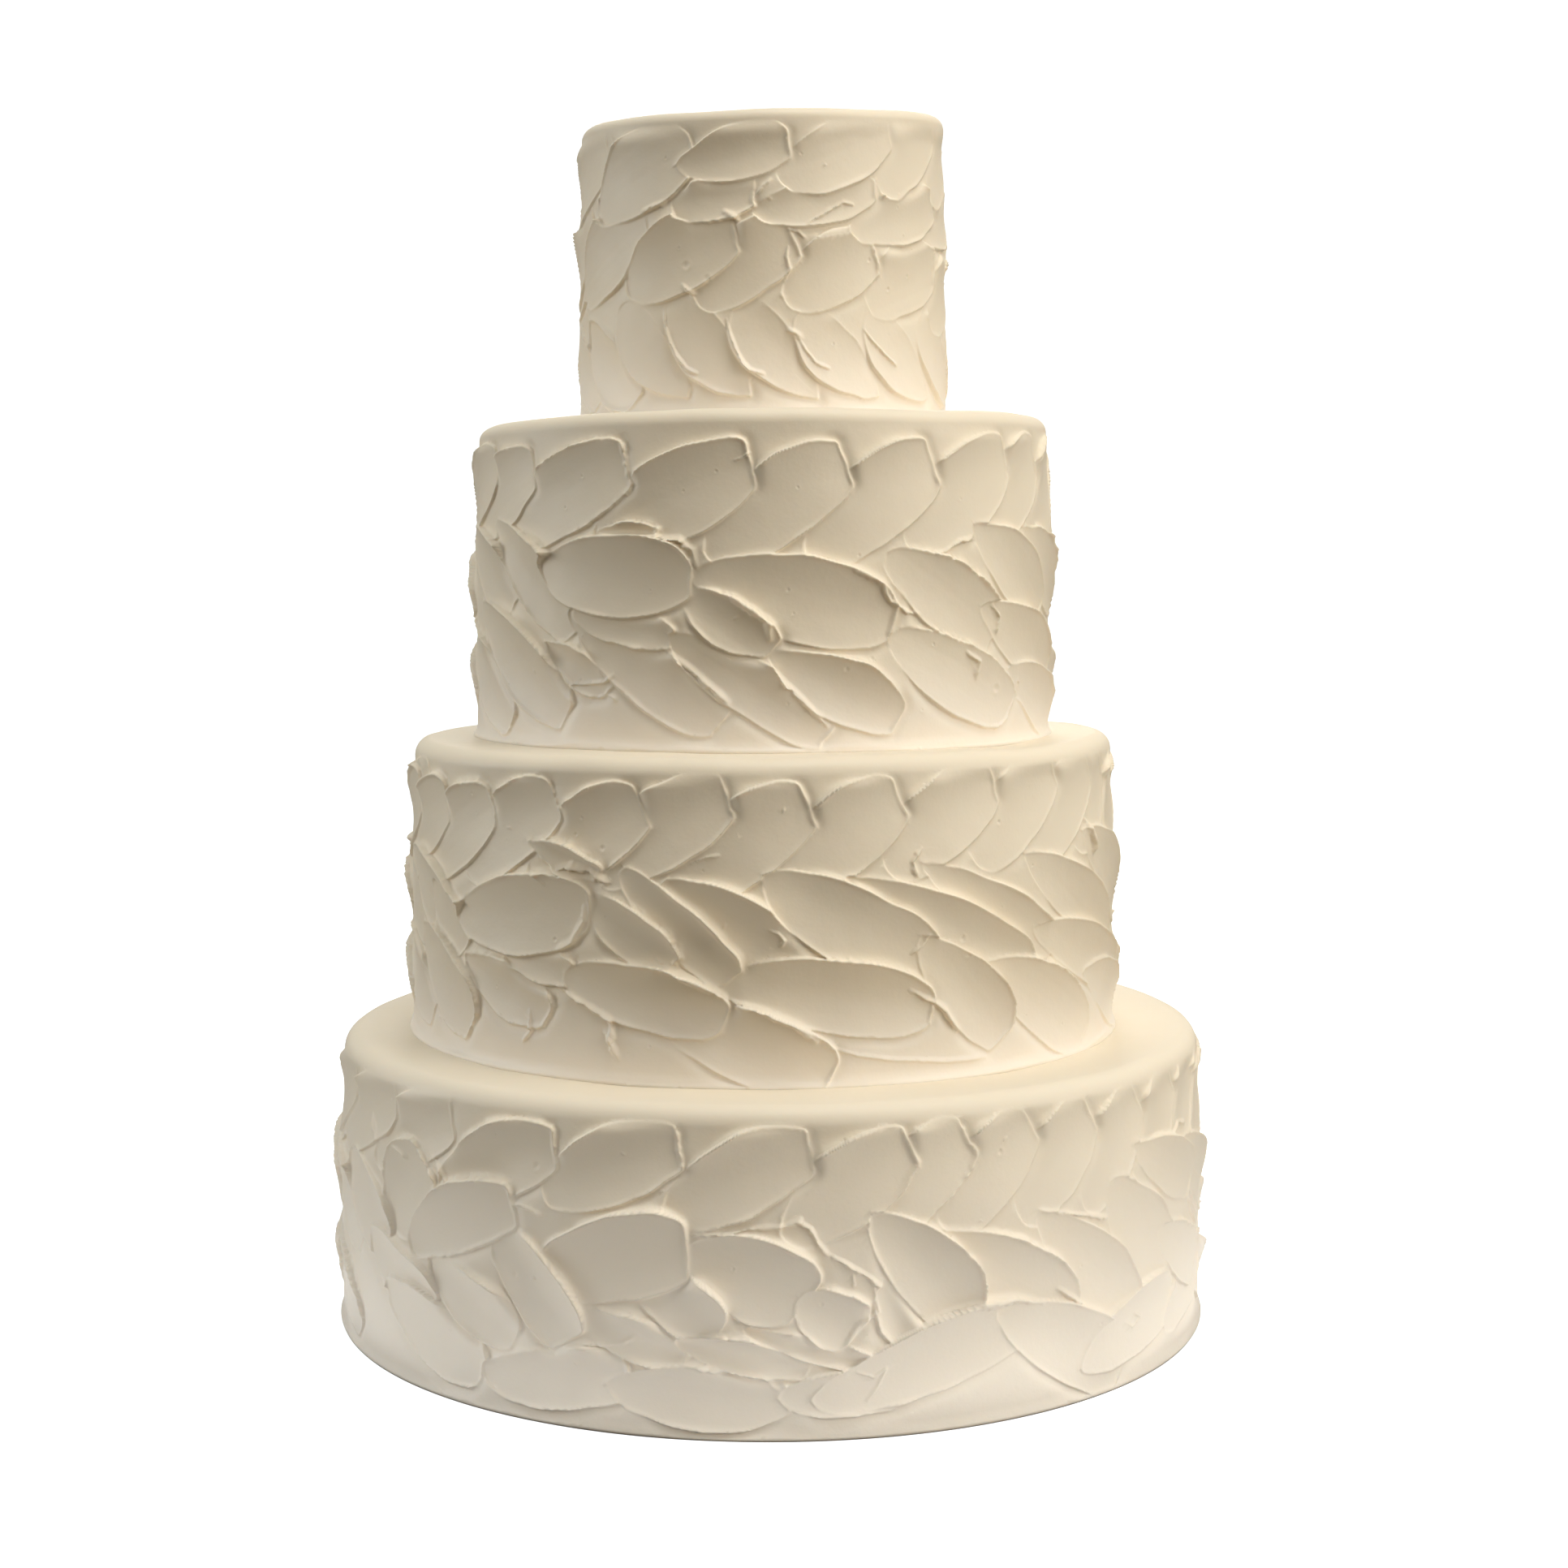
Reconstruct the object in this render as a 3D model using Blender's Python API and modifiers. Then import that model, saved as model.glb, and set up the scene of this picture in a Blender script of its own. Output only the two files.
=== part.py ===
"""Four-tier round wedding cake, iced in ivory buttercream worked with a palette knife.

The four stacked cakes are solid, each with a near-upright wall, a rounded top rim and a level ledge.
A table of knife strokes for each tier, then a rule for the tier's back, makes the relief on its wall.
Lengths in the tables are millimetres, angles are degrees, and the model itself is in metres, +Z up.
Azimuth 0 is the front, facing -Y, and azimuths grow towards +X.
"""

import math

import bpy
import numpy as np

MM = 0.001
SEED = 41

# Driving sizes of the tiers, lowest first: wall radius, height and sideways shift of the axis.
TIER_RADIUS = {"tier_1": 199.0, "tier_2": 162.0, "tier_3": 131.5, "tier_4": 84.0}
TIER_HEIGHT = {"tier_1": 131.0, "tier_2": 132.0, "tier_3": 139.0, "tier_4": 127.0}
TIER_SHIFT = {"tier_1": 0.0, "tier_2": -3.6, "tier_3": -3.6, "tier_4": -3.6}
TIER_GAP = 0.3
SEAT_MARGIN = 3.0

# The top of the highest tier isn't level: how far it rises to the right and falls to the left, and how far it rises
# on both sides.
TOP_TIER = "tier_4"
TOP_SLOPE = 2.4
TOP_LIFT = 5.5

# The icing's section: the base coat lies under the strokes, the wall draws in a little below the rounded rim, and
# the foot flares out.
BASE_COAT_DEPTH = 1.3
RIM_RADIUS = {"tier_1": 8.0, "tier_2": 7.5, "tier_3": 6.0, "tier_4": 4.5}
SHOULDER_DRAW = {"tier_1": 2.6, "tier_2": 2.4, "tier_3": 2.2, "tier_4": 1.6}
SHOULDER_HEIGHT = 46.0
FOOT_FLARE = 1.2
FOOT_HEIGHT = 7.0
BOTTOM_EDGE = 1.0

# How finely a tier is turned before its relief is simplified to the wanted number of triangles.
PROFILE_STEP = 2.5
LEDGE_STEP = 7.5
TOP_DISC_SHARE = 0.5
TRIANGLES_PER_TIER = 2400
LEVEL_TOLERANCE = 0.1

# Relief of a stroke: how far its lips reach inwards and outwards, and how sharply it meets what lies under it.
LIP_INNER = 1.6
LIP_OUTER = 2.4
EDGE_SOFTNESS = 1.2
OUTLINE_POINTS = 22
STROKE_REACH = 7.0
RIM_FADE_HEIGHT = 4.0

# The kinds of stroke. tail and head: how the left and right side narrow towards each end (0 blunt, 1 pointed).
# cut: where along its length the knife stopped square, and cut_slant how slanted that end is.
# lips: raised edge on the left, on the right and at the head. low: where across the hollow is deepest.
STROKE_KINDS = {
    "petal": {"tail": (0.60, 0.42), "head": (0.40, 0.54), "cut": 0.93, "cut_slant": 0.12,
              "lips": (1.1, 0.4, 0.6), "level": -0.55, "hollow": 1.7, "low": -0.05},
    "leaf": {"tail": (0.50, 0.50), "head": (0.40, 0.45), "cut": 1.0, "cut_slant": 0.0,
             "lips": (1.2, 0.5, 0.6), "level": -0.55, "hollow": 1.8, "low": -0.15},
    "slab": {"tail": (0.30, 0.35), "head": (0.25, 0.30), "cut": 1.0, "cut_slant": 0.0,
             "lips": (1.2, 0.5, 0.6), "level": -0.55, "hollow": 1.7, "low": -0.15},
    "oval": {"tail": (0.45, 0.50), "head": (0.40, 0.45), "cut": 1.0, "cut_slant": 0.0,
             "lips": (1.1, 0.5, 0.8), "level": -0.45, "hollow": 1.7, "low": -0.05},
    "drag": {"tail": (0.50, 0.50), "head": (0.75, 0.75), "cut": 1.0, "cut_slant": 0.0,
             "lips": (0.3, 0.6, 0.3), "level": -0.35, "hollow": 1.3, "low": 0.10},
}

# Knife strokes seen from the front, in the order they were laid: kind, azimuth and height of the tail,
# azimuth and height of the head, width, and how far the stroke bends to its left.
FRONT_STROKES = {
    "tier_1": (
        ("petal", 69, 82, 80, 118, 32, 2),
        ("petal", 59, 84, 70, 121, 32, 2),
        ("petal", 50, 84, 61, 121, 32, 2),
        ("petal", 40, 81, 51.5, 118, 32, 2),
        ("petal", 30, 82, 42, 117, 33, 2),
        ("petal", 20, 82, 32.4, 117, 32, 2),
        ("petal", 11, 84, 23.6, 115, 32, 2),
        ("petal", 1.5, 82, 16.4, 113, 32, 2),
        ("petal", -12, 90, 4.8, 113, 31, 2),
        ("petal", -27, 94, -10.2, 114, 31, 2),
        ("petal", -43, 88, -25.4, 110, 31, 2),
        ("petal", -58, 93, -41, 116, 33, 2),
        ("petal", -72, 92, -53, 118, 34, 2),
        ("petal", -88, 90, -67, 118, 34, 2),
        ("leaf", 64, 92, 80, 56, 30, 2),
        ("leaf", 50, 99, 68, 70, 26, 2),
        ("oval", 45, 88, 58, 36, 38, 0),
        ("leaf", 33, 82, 49, 26, 32, 2),
        ("leaf", 18, 80, 38, 37, 32, 1),
        ("oval", -53, 64, -46, 97, 40, 0),
        ("oval", -68, 86, -54, 54, 34, 0),
        ("leaf", -60, 58, -44, 34, 28, 0),
        ("leaf", -55, 40, -36, 14, 30, 0),
        ("leaf", -45, 56, -31, 32, 25, 0),
        ("oval", -36, 15, -16, 22, 26, 0),
        ("leaf", -24, 48, -9.3, 32, 18, 0),
        ("oval", -19, 19, 2.4, 15, 26, 0),
        ("slab", -9, 76, 4.2, 56, 34, 0),
        ("leaf", -17, 68, -5.8, 42, 24, 2),
        ("slab", -28, 60, -9.3, 75, 35, 2),
        ("slab", -34, 78, -23.5, 35, 27, 1),
        ("petal", -49, 62, -31, 84, 29, 3),
        ("leaf", -10.5, 39, 4.5, 29, 15, 0),
        ("leaf", -3, 45, 12.5, 28, 10, 0),
        ("oval", 1, 17, 17, 20, 20, 0),
        ("slab", 3.5, 57, 10.2, 43, 24, -1),
        ("leaf", 13, 62, 16, 36, 16, 0),
        ("leaf", 11.8, 89, 23, 42, 31, 3),
        ("oval", 5, 15, 33, 39, 29, 3),
        ("leaf", 27, 46, 47, 4, 32, 3),
        ("oval", 40, 14, 61, 30, 30, 3),
        ("oval", 58, 16, 76, 36, 28, 3),
        ("leaf", 56, 60, 72, 30, 26, 0),
    ),
    "tier_2": (
        ("petal", 70, 90, 83, 118, 34, 2),
        ("petal", 56, 90, 69, 120, 34, 2),
        ("petal", 43, 90, 62.5, 119, 34, 2),
        ("petal", 32, 90, 51, 122, 34, 2),
        ("petal", 18, 89, 37, 119, 34, 2),
        ("petal", 3, 84, 20.8, 114.5, 33, 2),
        ("petal", -13, 79, 7, 112.5, 34, 2),
        ("petal", -25, 86, -4.7, 116, 34, 2),
        ("petal", -36, 82, -17.2, 111.5, 34, 2),
        ("petal", -51, 82, -31.7, 112.5, 34, 2),
        ("petal", -64, 80, -44.5, 108, 34, 2),
        ("petal", -77, 82, -57, 107, 34, 2),
        ("petal", -90, 84, -70, 108, 34, 2),
        ("leaf", 59, 95, 84, 52, 30, 3),
        ("leaf", 43, 89, 71, 40, 28, 3),
        ("leaf", 24, 89, 50, 47, 22, 0),
        ("leaf", 12, 84, 44, 42, 22, 2),
        ("slab", -14, 82, 7.5, 44, 27, 2),
        ("leaf", -76, 84, -54, 54, 30, 2),
        ("leaf", -62, 72, -51, 48, 26, 0),
        ("leaf", -68, 52, -50, 14, 34, 2),
        ("leaf", -51, 44, -33, 25, 24, 0),
        ("oval", -43, 52, -28, 42, 16, 0),
        ("oval", 0.5, 85.5, 26, 46, 33, -1),
        ("leaf", 45, 58, 78, 22, 28, 2),
        ("leaf", 35, 46, 59, 4, 32, 3),
        ("leaf", 23.5, 59, 38, 13, 29, 2),
        ("oval", -6, 43, 25.5, 28, 31, 2),
        ("slab", -20, 87, -4.5, 44, 20, 0),
        ("slab", -26, 76, -13, 48, 20, 0),
        ("leaf", -17, 33, 10, 4, 31, 1),
        ("oval", -30, 43, -5, 27, 27, 1),
        ("leaf", -36.5, 96, -24, 84, 12, 0),
        ("oval", -53, 61, -25.5, 69, 34, 0),
        ("leaf", 60, 34, 84, 6, 28, 2),
    ),
    "tier_3": (
        ("petal", 62, 88, 84, 120, 34, 2),
        ("petal", 44, 90, 67, 120, 34, 2),
        ("petal", 27, 87, 53.5, 119, 35, 2),
        ("petal", 8, 80, 33.5, 116, 35, 3),
        ("petal", -10, 82, 15.6, 115.5, 34, 2),
        ("petal", -32, 86, -1.6, 115, 36, 2),
        ("petal", -57, 89, -25, 115.5, 36, 2),
        ("petal", -72, 93, -48, 116, 34, 2),
        ("petal", -88, 93, -63, 119, 34, 2),
        ("leaf", 60, 92, 82, 58, 30, 2),
        ("leaf", 43, 93, 68, 54, 30, 2),
        ("leaf", 23, 81, 49, 45, 32, 1),
        ("oval", -12, 72, 24.5, 52, 36, 1),
        ("leaf", -80, 92, -55, 58, 30, 2),
        ("leaf", -62, 96, -37, 47, 27, 2),
        ("leaf", -85, 54, -56, 8, 28, 0),
        ("leaf", -72, 60, -39, 12, 30, 3),
        ("leaf", -44, 44, -29, 24, 16, 0),
        ("leaf", -38, 58, -7, 12, 32, 2),
        ("oval", -37, 56, -16, 46, 16, 0),
        ("leaf", -17, 48, 12, 6, 25, 1),
        ("leaf", 1.5, 40, 25.5, 12, 26, 1),
        ("leaf", 45, 59, 74, 24, 30, 3),
        ("leaf", 54, 32, 80, 4, 28, 2),
        ("oval", 24, 48, 55, 15, 31, -2),
        ("leaf", -15.5, 69, 2.3, 43, 20, -2),
        ("oval", -31, 90, -19, 89, 8, 0),
        ("oval", -46, 75, -12.5, 69, 34, 0),
    ),
    "tier_4": (
        ("leaf", -84, 46, -60, 8, 26, -2),
        ("leaf", -66, 44, -42, 6, 26, -2),
        ("drag", -47, 48, -22, 8, 25, -3),
        ("drag", -26.5, 49, -3, 8, 25, -3),
        ("drag", -7, 47, 17, 8, 25, -3),
        ("drag", 11.5, 43, 37, 8.5, 25, -3),
        ("drag", 33, 43, 60, 9, 25, -3),
        ("drag", 56, 44, 84, 9, 26, -2),
        ("petal", 62, 44, 92, 70, 32, 2),
        ("petal", 33, 50, 66, 66, 33, 3),
        ("petal", 6.5, 50, 36, 68, 31, 2),
        ("petal", -20, 49, 9.3, 73, 31, 2),
        ("petal", -94, 56, -64, 86, 32, 2),
        ("petal", -72, 56, -37, 82, 34, 2),
        ("petal", -46, 57, -7.5, 75, 33, 1),
        ("oval", 58, 80, 90, 94, 22, 0),
        ("oval", 27, 77, 66, 90, 23, 2),
        ("oval", -2.5, 84, 36, 94, 20, 0),
        ("slab", -28, 88, -2, 93, 20, 0),
        ("petal", 62, 97, 92, 122, 32, 3),
        ("petal", 36, 98, 67, 120, 30, 3),
        ("petal", 5, 99, 42, 116, 28, 1),
        ("petal", -94, 92, -55, 112, 32, 3),
        ("oval", -60, 88.5, -21, 110.5, 35, 3),
        ("leaf", -26.5, 104, 8.5, 111.5, 23.5, 1),
    ),
}

# Strokes round the back, row by row: kind, height of tail and head, run along the wall, spacing, width, bend.
BACK_AZIMUTHS = (74.0, 286.0)
BACK_ROWS = (
    ("petal", 88, 118, 50, 42, 34, 2),
    ("leaf", 46, 12, 62, 46, 30, 2),
    ("leaf", 86, 46, 66, 48, 33, 2),
)
TOP_TIER_BACK_ROWS = (
    ("drag", 47, 8, 36, 30, 27, -3),
    ("petal", 49, 77, 46, 40, 31, 2),
    ("oval", 83, 91, 50, 46, 20, 0),
    ("petal", 94, 119, 50, 46, 32, 3),
)
BACK_JITTER_HEIGHT = 3.0
BACK_JITTER_RUN = 5.0
BACK_JITTER_WIDTH = 2.5

# Slow waviness of the icing: how deep, how many waves are summed, how many run round the cake, and how steeply they
# may slant up the wall, in radians per millimetre.
WAVINESS = 0.35
WAVE_COUNT = 9
WAVES_ROUND = (3, 14)
WAVE_SLANT = 0.08

ICING_COLOUR = (0.80, 0.72, 0.57, 1.0)
ICING_ROUGHNESS = 0.5


def smooth_step(value, low, high):
    """0 below low, 1 above high and a smooth rise between."""
    share = np.clip((value - low) / (high - low), 0.0, 1.0)
    return share * share * (3.0 - 2.0 * share)


def side_shape(share, tail, head):
    """Half-width along a stroke, at most 1: share runs from 0 at the tail to 1 at the head."""
    widest = tail / (tail + head)
    peak = widest**tail * (1.0 - widest) ** head
    return share**tail * (1.0 - share) ** head / peak


def stroke_outline(kind, length, width, bend):
    """A stroke's outline in its own frame, along and across, with the lip's height at each point."""
    share = 0.5 - 0.5 * np.cos(np.linspace(0.0, math.pi, OUTLINE_POINTS))
    left_half = 0.5 * width * side_shape(share, kind["tail"][0], kind["head"][0])
    right_half = -0.5 * width * side_shape(share, kind["tail"][1], kind["head"][1])
    there_and_back = np.concatenate([share, share[-2:0:-1]])
    across = np.concatenate([left_half, right_half[-2:0:-1]])
    across = across + 4.0 * bend * there_and_back * (1.0 - there_and_back)
    along = (there_and_back - 0.5) * length
    along = np.minimum(along, (kind["cut"] - 0.5) * length + kind["cut_slant"] * across)
    left_lip, right_lip, head_lip = kind["lips"]
    is_left = np.arange(len(there_and_back)) < OUTLINE_POINTS
    side_lip = np.where(is_left, left_lip, right_lip)
    side_lip = side_lip * smooth_step(there_and_back, 0.05, 0.40)
    near_head = smooth_step(there_and_back, 0.86, 0.95)
    lip = side_lip * (1.0 - near_head) + head_lip * near_head
    return along, across, lip


def outline_distance(along, across, outline):
    """Distance of points to an outline, negative inside, and the lip's height at the nearest place on it."""
    start_along, start_across, start_lip = outline
    step_along = np.roll(start_along, -1) - start_along
    step_across = np.roll(start_across, -1) - start_across
    step_lip = np.roll(start_lip, -1) - start_lip
    from_along = along[:, None] - start_along
    from_across = across[:, None] - start_across
    step_square = np.maximum(step_along**2 + step_across**2, 1e-9)
    share = np.clip((from_along * step_along + from_across * step_across) / step_square, 0.0, 1.0)
    gap = np.hypot(from_along - share * step_along, from_across - share * step_across)
    nearest = gap.argmin(axis=1)
    rows = np.arange(len(along))
    lip = start_lip[nearest] + share[rows, nearest] * step_lip[nearest]
    end_across = np.roll(start_across, -1)
    straddles = (start_across > across[:, None]) != (end_across > across[:, None])
    slope = step_along / np.where(step_across == 0.0, 1e-9, step_across)
    crossing = straddles & (from_along < slope * from_across)
    inside = crossing.sum(axis=1) % 2 == 1
    distance = gap[rows, nearest]
    return np.where(inside, -distance, distance), lip


def lay_stroke(relief, arc, height, radius, stroke):
    """Spreads one knife stroke over the relief. arc is the way round the wall and height the way up it."""
    name, tail_azimuth, tail_height, head_azimuth, head_height, width, bend = stroke
    kind = STROKE_KINDS[name]
    run = math.radians(head_azimuth - tail_azimuth) * radius
    rise = head_height - tail_height
    visible_length = math.hypot(run, rise)
    run, rise = run / visible_length, rise / visible_length
    length = visible_length / kind["cut"]
    middle_arc = math.radians(tail_azimuth) * radius + 0.5 * length * run
    middle_height = tail_height + 0.5 * length * rise
    girth = 2.0 * math.pi * radius
    arc_from = (arc - middle_arc + 0.5 * girth) % girth - 0.5 * girth
    height_from = height - middle_height
    reach = 0.5 * length + 0.5 * width + STROKE_REACH
    near = np.flatnonzero((np.abs(arc_from) < reach) & (np.abs(height_from) < reach))
    along = arc_from[near] * run + height_from[near] * rise
    across = height_from[near] * run - arc_from[near] * rise
    outline = stroke_outline(kind, length, width, bend)
    distance, lip = outline_distance(along, across, outline)
    side = across / (0.5 * width)
    surface = kind["level"] + kind["hollow"] * (side - kind["low"]) ** 2
    laid = 1.0 - smooth_step(distance, -0.5 * EDGE_SOFTNESS, 0.5 * EDGE_SOFTNESS)
    lip_reach = np.where(distance < 0.0, LIP_INNER, LIP_OUTER)
    ridge = lip * np.exp(-0.5 * (distance / lip_reach) ** 2)
    relief[near] = relief[near] * (1.0 - laid) + surface * laid + ridge


def back_strokes(tier, radius):
    """The strokes that the front view doesn't show, spaced evenly with some unevenness in each."""
    chance = np.random.default_rng(SEED + int(tier[-1]))
    rows = TOP_TIER_BACK_ROWS if tier == "tier_4" else BACK_ROWS
    strokes = []
    for name, tail_height, head_height, run, spacing, width, bend in rows:
        turn = math.degrees(run / radius)
        count = round(math.radians(BACK_AZIMUTHS[1] - BACK_AZIMUTHS[0]) * radius / spacing)
        for azimuth in np.linspace(BACK_AZIMUTHS[1], BACK_AZIMUTHS[0], count):
            jitter = chance.uniform(-1.0, 1.0, 4)
            shift = math.degrees(BACK_JITTER_RUN * jitter[0] / radius)
            strokes.append((
                name,
                azimuth - 0.5 * turn + shift,
                tail_height + BACK_JITTER_HEIGHT * jitter[1],
                azimuth + 0.5 * turn + shift,
                head_height + BACK_JITTER_HEIGHT * jitter[2],
                width + BACK_JITTER_WIDTH * jitter[3],
                bend,
            ))
    return strokes


def waviness(azimuth, height, seed):
    """A smooth unevenness of about -1 to 1 that closes up round the cake."""
    chance = np.random.default_rng(seed)
    total = np.zeros_like(azimuth)
    for _ in range(WAVE_COUNT):
        round_count = chance.integers(*WAVES_ROUND)
        slant = chance.uniform(-WAVE_SLANT, WAVE_SLANT)
        phase = chance.uniform(0.0, 2.0 * math.pi)
        total += np.sin(round_count * azimuth + slant * height + phase)
    return total / math.sqrt(WAVE_COUNT)


def rim_centre_radius(tier):
    """Distance from the axis to the middle of the rim's rounding."""
    return TIER_RADIUS[tier] - BASE_COAT_DEPTH - SHOULDER_DRAW[tier] - RIM_RADIUS[tier]


def tier_profile(tier, next_radius):
    """Half of a tier's section, from the middle of its top, over the rim and down the wall to its foot."""
    radius = TIER_RADIUS[tier] - BASE_COAT_DEPTH
    height = TIER_HEIGHT[tier]
    rim = RIM_RADIUS[tier]
    rim_centre = rim_centre_radius(tier)
    flat_radius = next_radius if next_radius else TOP_DISC_SHARE * radius
    points = [(0.0, height)]
    ledge_steps = max(2, round((rim_centre - flat_radius) / LEDGE_STEP))
    points += [(flat_radius + (rim_centre - flat_radius) * k / ledge_steps, height) for k in range(ledge_steps + 1)]
    rim_steps = max(3, round(0.5 * math.pi * rim / PROFILE_STEP))
    for k in range(1, rim_steps + 1):
        turn = 0.5 * math.pi * k / rim_steps
        points.append((rim_centre + rim * math.sin(turn), height - rim * (1.0 - math.cos(turn))))
    wall_height = height - rim - BOTTOM_EDGE
    wall_steps = round(wall_height / PROFILE_STEP)
    for k in range(1, wall_steps + 1):
        level = height - rim - wall_height * k / wall_steps
        flare = FOOT_FLARE * float(1.0 - smooth_step(level, 0.0, FOOT_HEIGHT))
        draw = SHOULDER_DRAW[tier] * float(smooth_step(level, height - SHOULDER_HEIGHT, height - rim))
        points.append((radius + flare - draw, level))
    points.append((radius + FOOT_FLARE - BOTTOM_EDGE, 0.0))
    points.append((0.0, 0.0))
    return points


def turned_mesh(name, points, steps):
    """Turns a section about the Z axis with a Screw modifier and returns the mesh."""
    profile = bpy.data.meshes.new(name + "_profile")
    edges = [(k, k + 1) for k in range(len(points) - 1)]
    profile.from_pydata([(x * MM, 0.0, z * MM) for x, z in points], edges, [])
    turned = bpy.data.objects.new(name + "_turned", profile)
    bpy.context.scene.collection.objects.link(turned)
    screw = turned.modifiers.new("Turn", "SCREW")
    screw.axis = "Z"
    screw.angle = 2.0 * math.pi
    screw.steps = steps
    screw.render_steps = steps
    screw.use_merge_vertices = True
    screw.merge_threshold = 0.00001
    mesh = evaluated_mesh(turned, name)
    bpy.data.objects.remove(turned)
    bpy.data.meshes.remove(profile)
    return mesh


def evaluated_mesh(obj, name):
    """The object's mesh with its modifiers applied."""
    bpy.context.view_layer.update()
    graph = bpy.context.evaluated_depsgraph_get()
    mesh = bpy.data.meshes.new_from_object(obj.evaluated_get(graph))
    mesh.name = name
    return mesh


def tier_relief(tier, azimuth, height):
    """How far the icing stands proud of the base coat, in millimetres, at each point of a tier's wall."""
    radius = TIER_RADIUS[tier]
    arc = azimuth * radius
    relief = np.zeros_like(arc)
    for stroke in back_strokes(tier, radius):
        lay_stroke(relief, arc, height, radius, stroke)
    for stroke in FRONT_STROKES[tier]:
        lay_stroke(relief, arc, height, radius, stroke)
    relief += WAVINESS * waviness(azimuth, height, SEED + 10 * int(tier[-1]))
    top = TIER_HEIGHT[tier]
    fade = 1.0 - smooth_step(height, top - RIM_FADE_HEIGHT, top - 1.0)
    return relief * fade * smooth_step(height, 0.0, BOTTOM_EDGE + PROFILE_STEP)


def press_relief(mesh, tier):
    """Moves the vertices of a turned tier out by the relief, square to the wall or to the rim."""
    spot = np.empty(3 * len(mesh.vertices))
    mesh.vertices.foreach_get("co", spot)
    spot = spot.reshape(-1, 3) / MM
    centre_distance = np.hypot(spot[:, 0], spot[:, 1])
    azimuth = np.arctan2(spot[:, 0], -spot[:, 1])
    rim_centre = rim_centre_radius(tier)
    outward = np.maximum(centre_distance - rim_centre, 0.0)
    upward = np.maximum(spot[:, 2] - (TIER_HEIGHT[tier] - RIM_RADIUS[tier]), 0.0)
    slope = np.maximum(np.hypot(outward, upward), 1e-6)
    relief = tier_relief(tier, azimuth, spot[:, 2]) * (outward > 0.0)
    spot[:, 0] += relief * outward / slope * np.sin(azimuth)
    spot[:, 1] -= relief * outward / slope * np.cos(azimuth)
    spot[:, 2] += relief * upward / slope
    if tier == TOP_TIER:
        share = smooth_step(spot[:, 2], 0.0, TIER_HEIGHT[tier]) * smooth_step(centre_distance, 0.0, rim_centre)
        spot[:, 2] += share * (TOP_SLOPE * np.sin(azimuth) + TOP_LIFT * np.sin(azimuth) ** 2)
    mesh.vertices.foreach_set("co", (spot * MM).ravel())
    mesh.update()


def simplified_mesh(mesh, name, triangles):
    """The same shape with about the given number of triangles, its flat top and bottom kept exactly flat."""
    fine = bpy.data.objects.new(name + "_fine", mesh)
    bpy.context.scene.collection.objects.link(fine)
    mesh.calc_loop_triangles()
    decimate = fine.modifiers.new("Simplify", "DECIMATE")
    decimate.ratio = triangles / len(mesh.loop_triangles)
    decimate.use_collapse_triangulate = True
    simple = evaluated_mesh(fine, name)
    bpy.data.objects.remove(fine)
    bpy.data.meshes.remove(mesh)
    return simple


def level_faces(mesh, height):
    """Puts the vertices that nearly lie on the bottom or the top plane exactly on it."""
    for vertex in mesh.vertices:
        for plane in (0.0, height):
            if abs(vertex.co.z - plane * MM) < LEVEL_TOLERANCE * MM:
                vertex.co.z = plane * MM


def icing_material(name):
    """Ivory buttercream."""
    material = bpy.data.materials.new(name)
    material.use_nodes = True
    shader = material.node_tree.nodes["Principled BSDF"]
    shader.inputs["Base Color"].default_value = ICING_COLOUR
    shader.inputs["Roughness"].default_value = ICING_ROUGHNESS
    shader.inputs["Metallic"].default_value = 0.0
    material.diffuse_color = ICING_COLOUR
    return material


def build_tier(tier, next_radius, level, collection):
    """One cake of the stack, standing at the given level."""
    points = tier_profile(tier, next_radius)
    steps = round(2.0 * math.pi * TIER_RADIUS[tier] / PROFILE_STEP)
    mesh = turned_mesh(tier, points, steps)
    press_relief(mesh, tier)
    mesh = simplified_mesh(mesh, tier, TRIANGLES_PER_TIER)
    level_faces(mesh, TIER_HEIGHT[tier])
    mesh.materials.clear()
    mesh.materials.append(icing_material(tier + "_icing"))
    mesh.shade_smooth()
    cake = bpy.data.objects.new(tier, mesh)
    cake.location = (TIER_SHIFT[tier] * MM, 0.0, level * MM)
    collection.objects.link(cake)
    return cake


def build_cake():
    """All four tiers, each resting on the one below with a hair's gap between their meshes."""
    collection = bpy.data.collections.new("wedding_cake")
    bpy.context.scene.collection.children.link(collection)
    names = list(TIER_RADIUS)
    level = 0.0
    for number, tier in enumerate(names):
        following = names[number + 1] if number + 1 < len(names) else None
        next_radius = 0.0
        if following:
            next_radius = TIER_RADIUS[following] + abs(TIER_SHIFT[following] - TIER_SHIFT[tier]) + SEAT_MARGIN
        build_tier(tier, next_radius, level + (TIER_GAP if number else 0.0), collection)
        level += TIER_HEIGHT[tier]


for leftover in list(bpy.data.objects):
    bpy.data.objects.remove(leftover)
build_cake()
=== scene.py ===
"""Wedding cake of four round tiers in ivory buttercream, worked with a palette knife, around its frame.

Each tier is one closed mesh that stands for its CAD node: a turned section, finely divided, whose wall
carries knife strokes laid one over another, then torn lips, crumbs and pits.
Lengths in the tables are millimetres, angles are degrees, and the scene is in metres, +Z up.
Azimuth 0 is the front, facing -Y, and azimuths grow towards +X.
"""

import math

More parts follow.
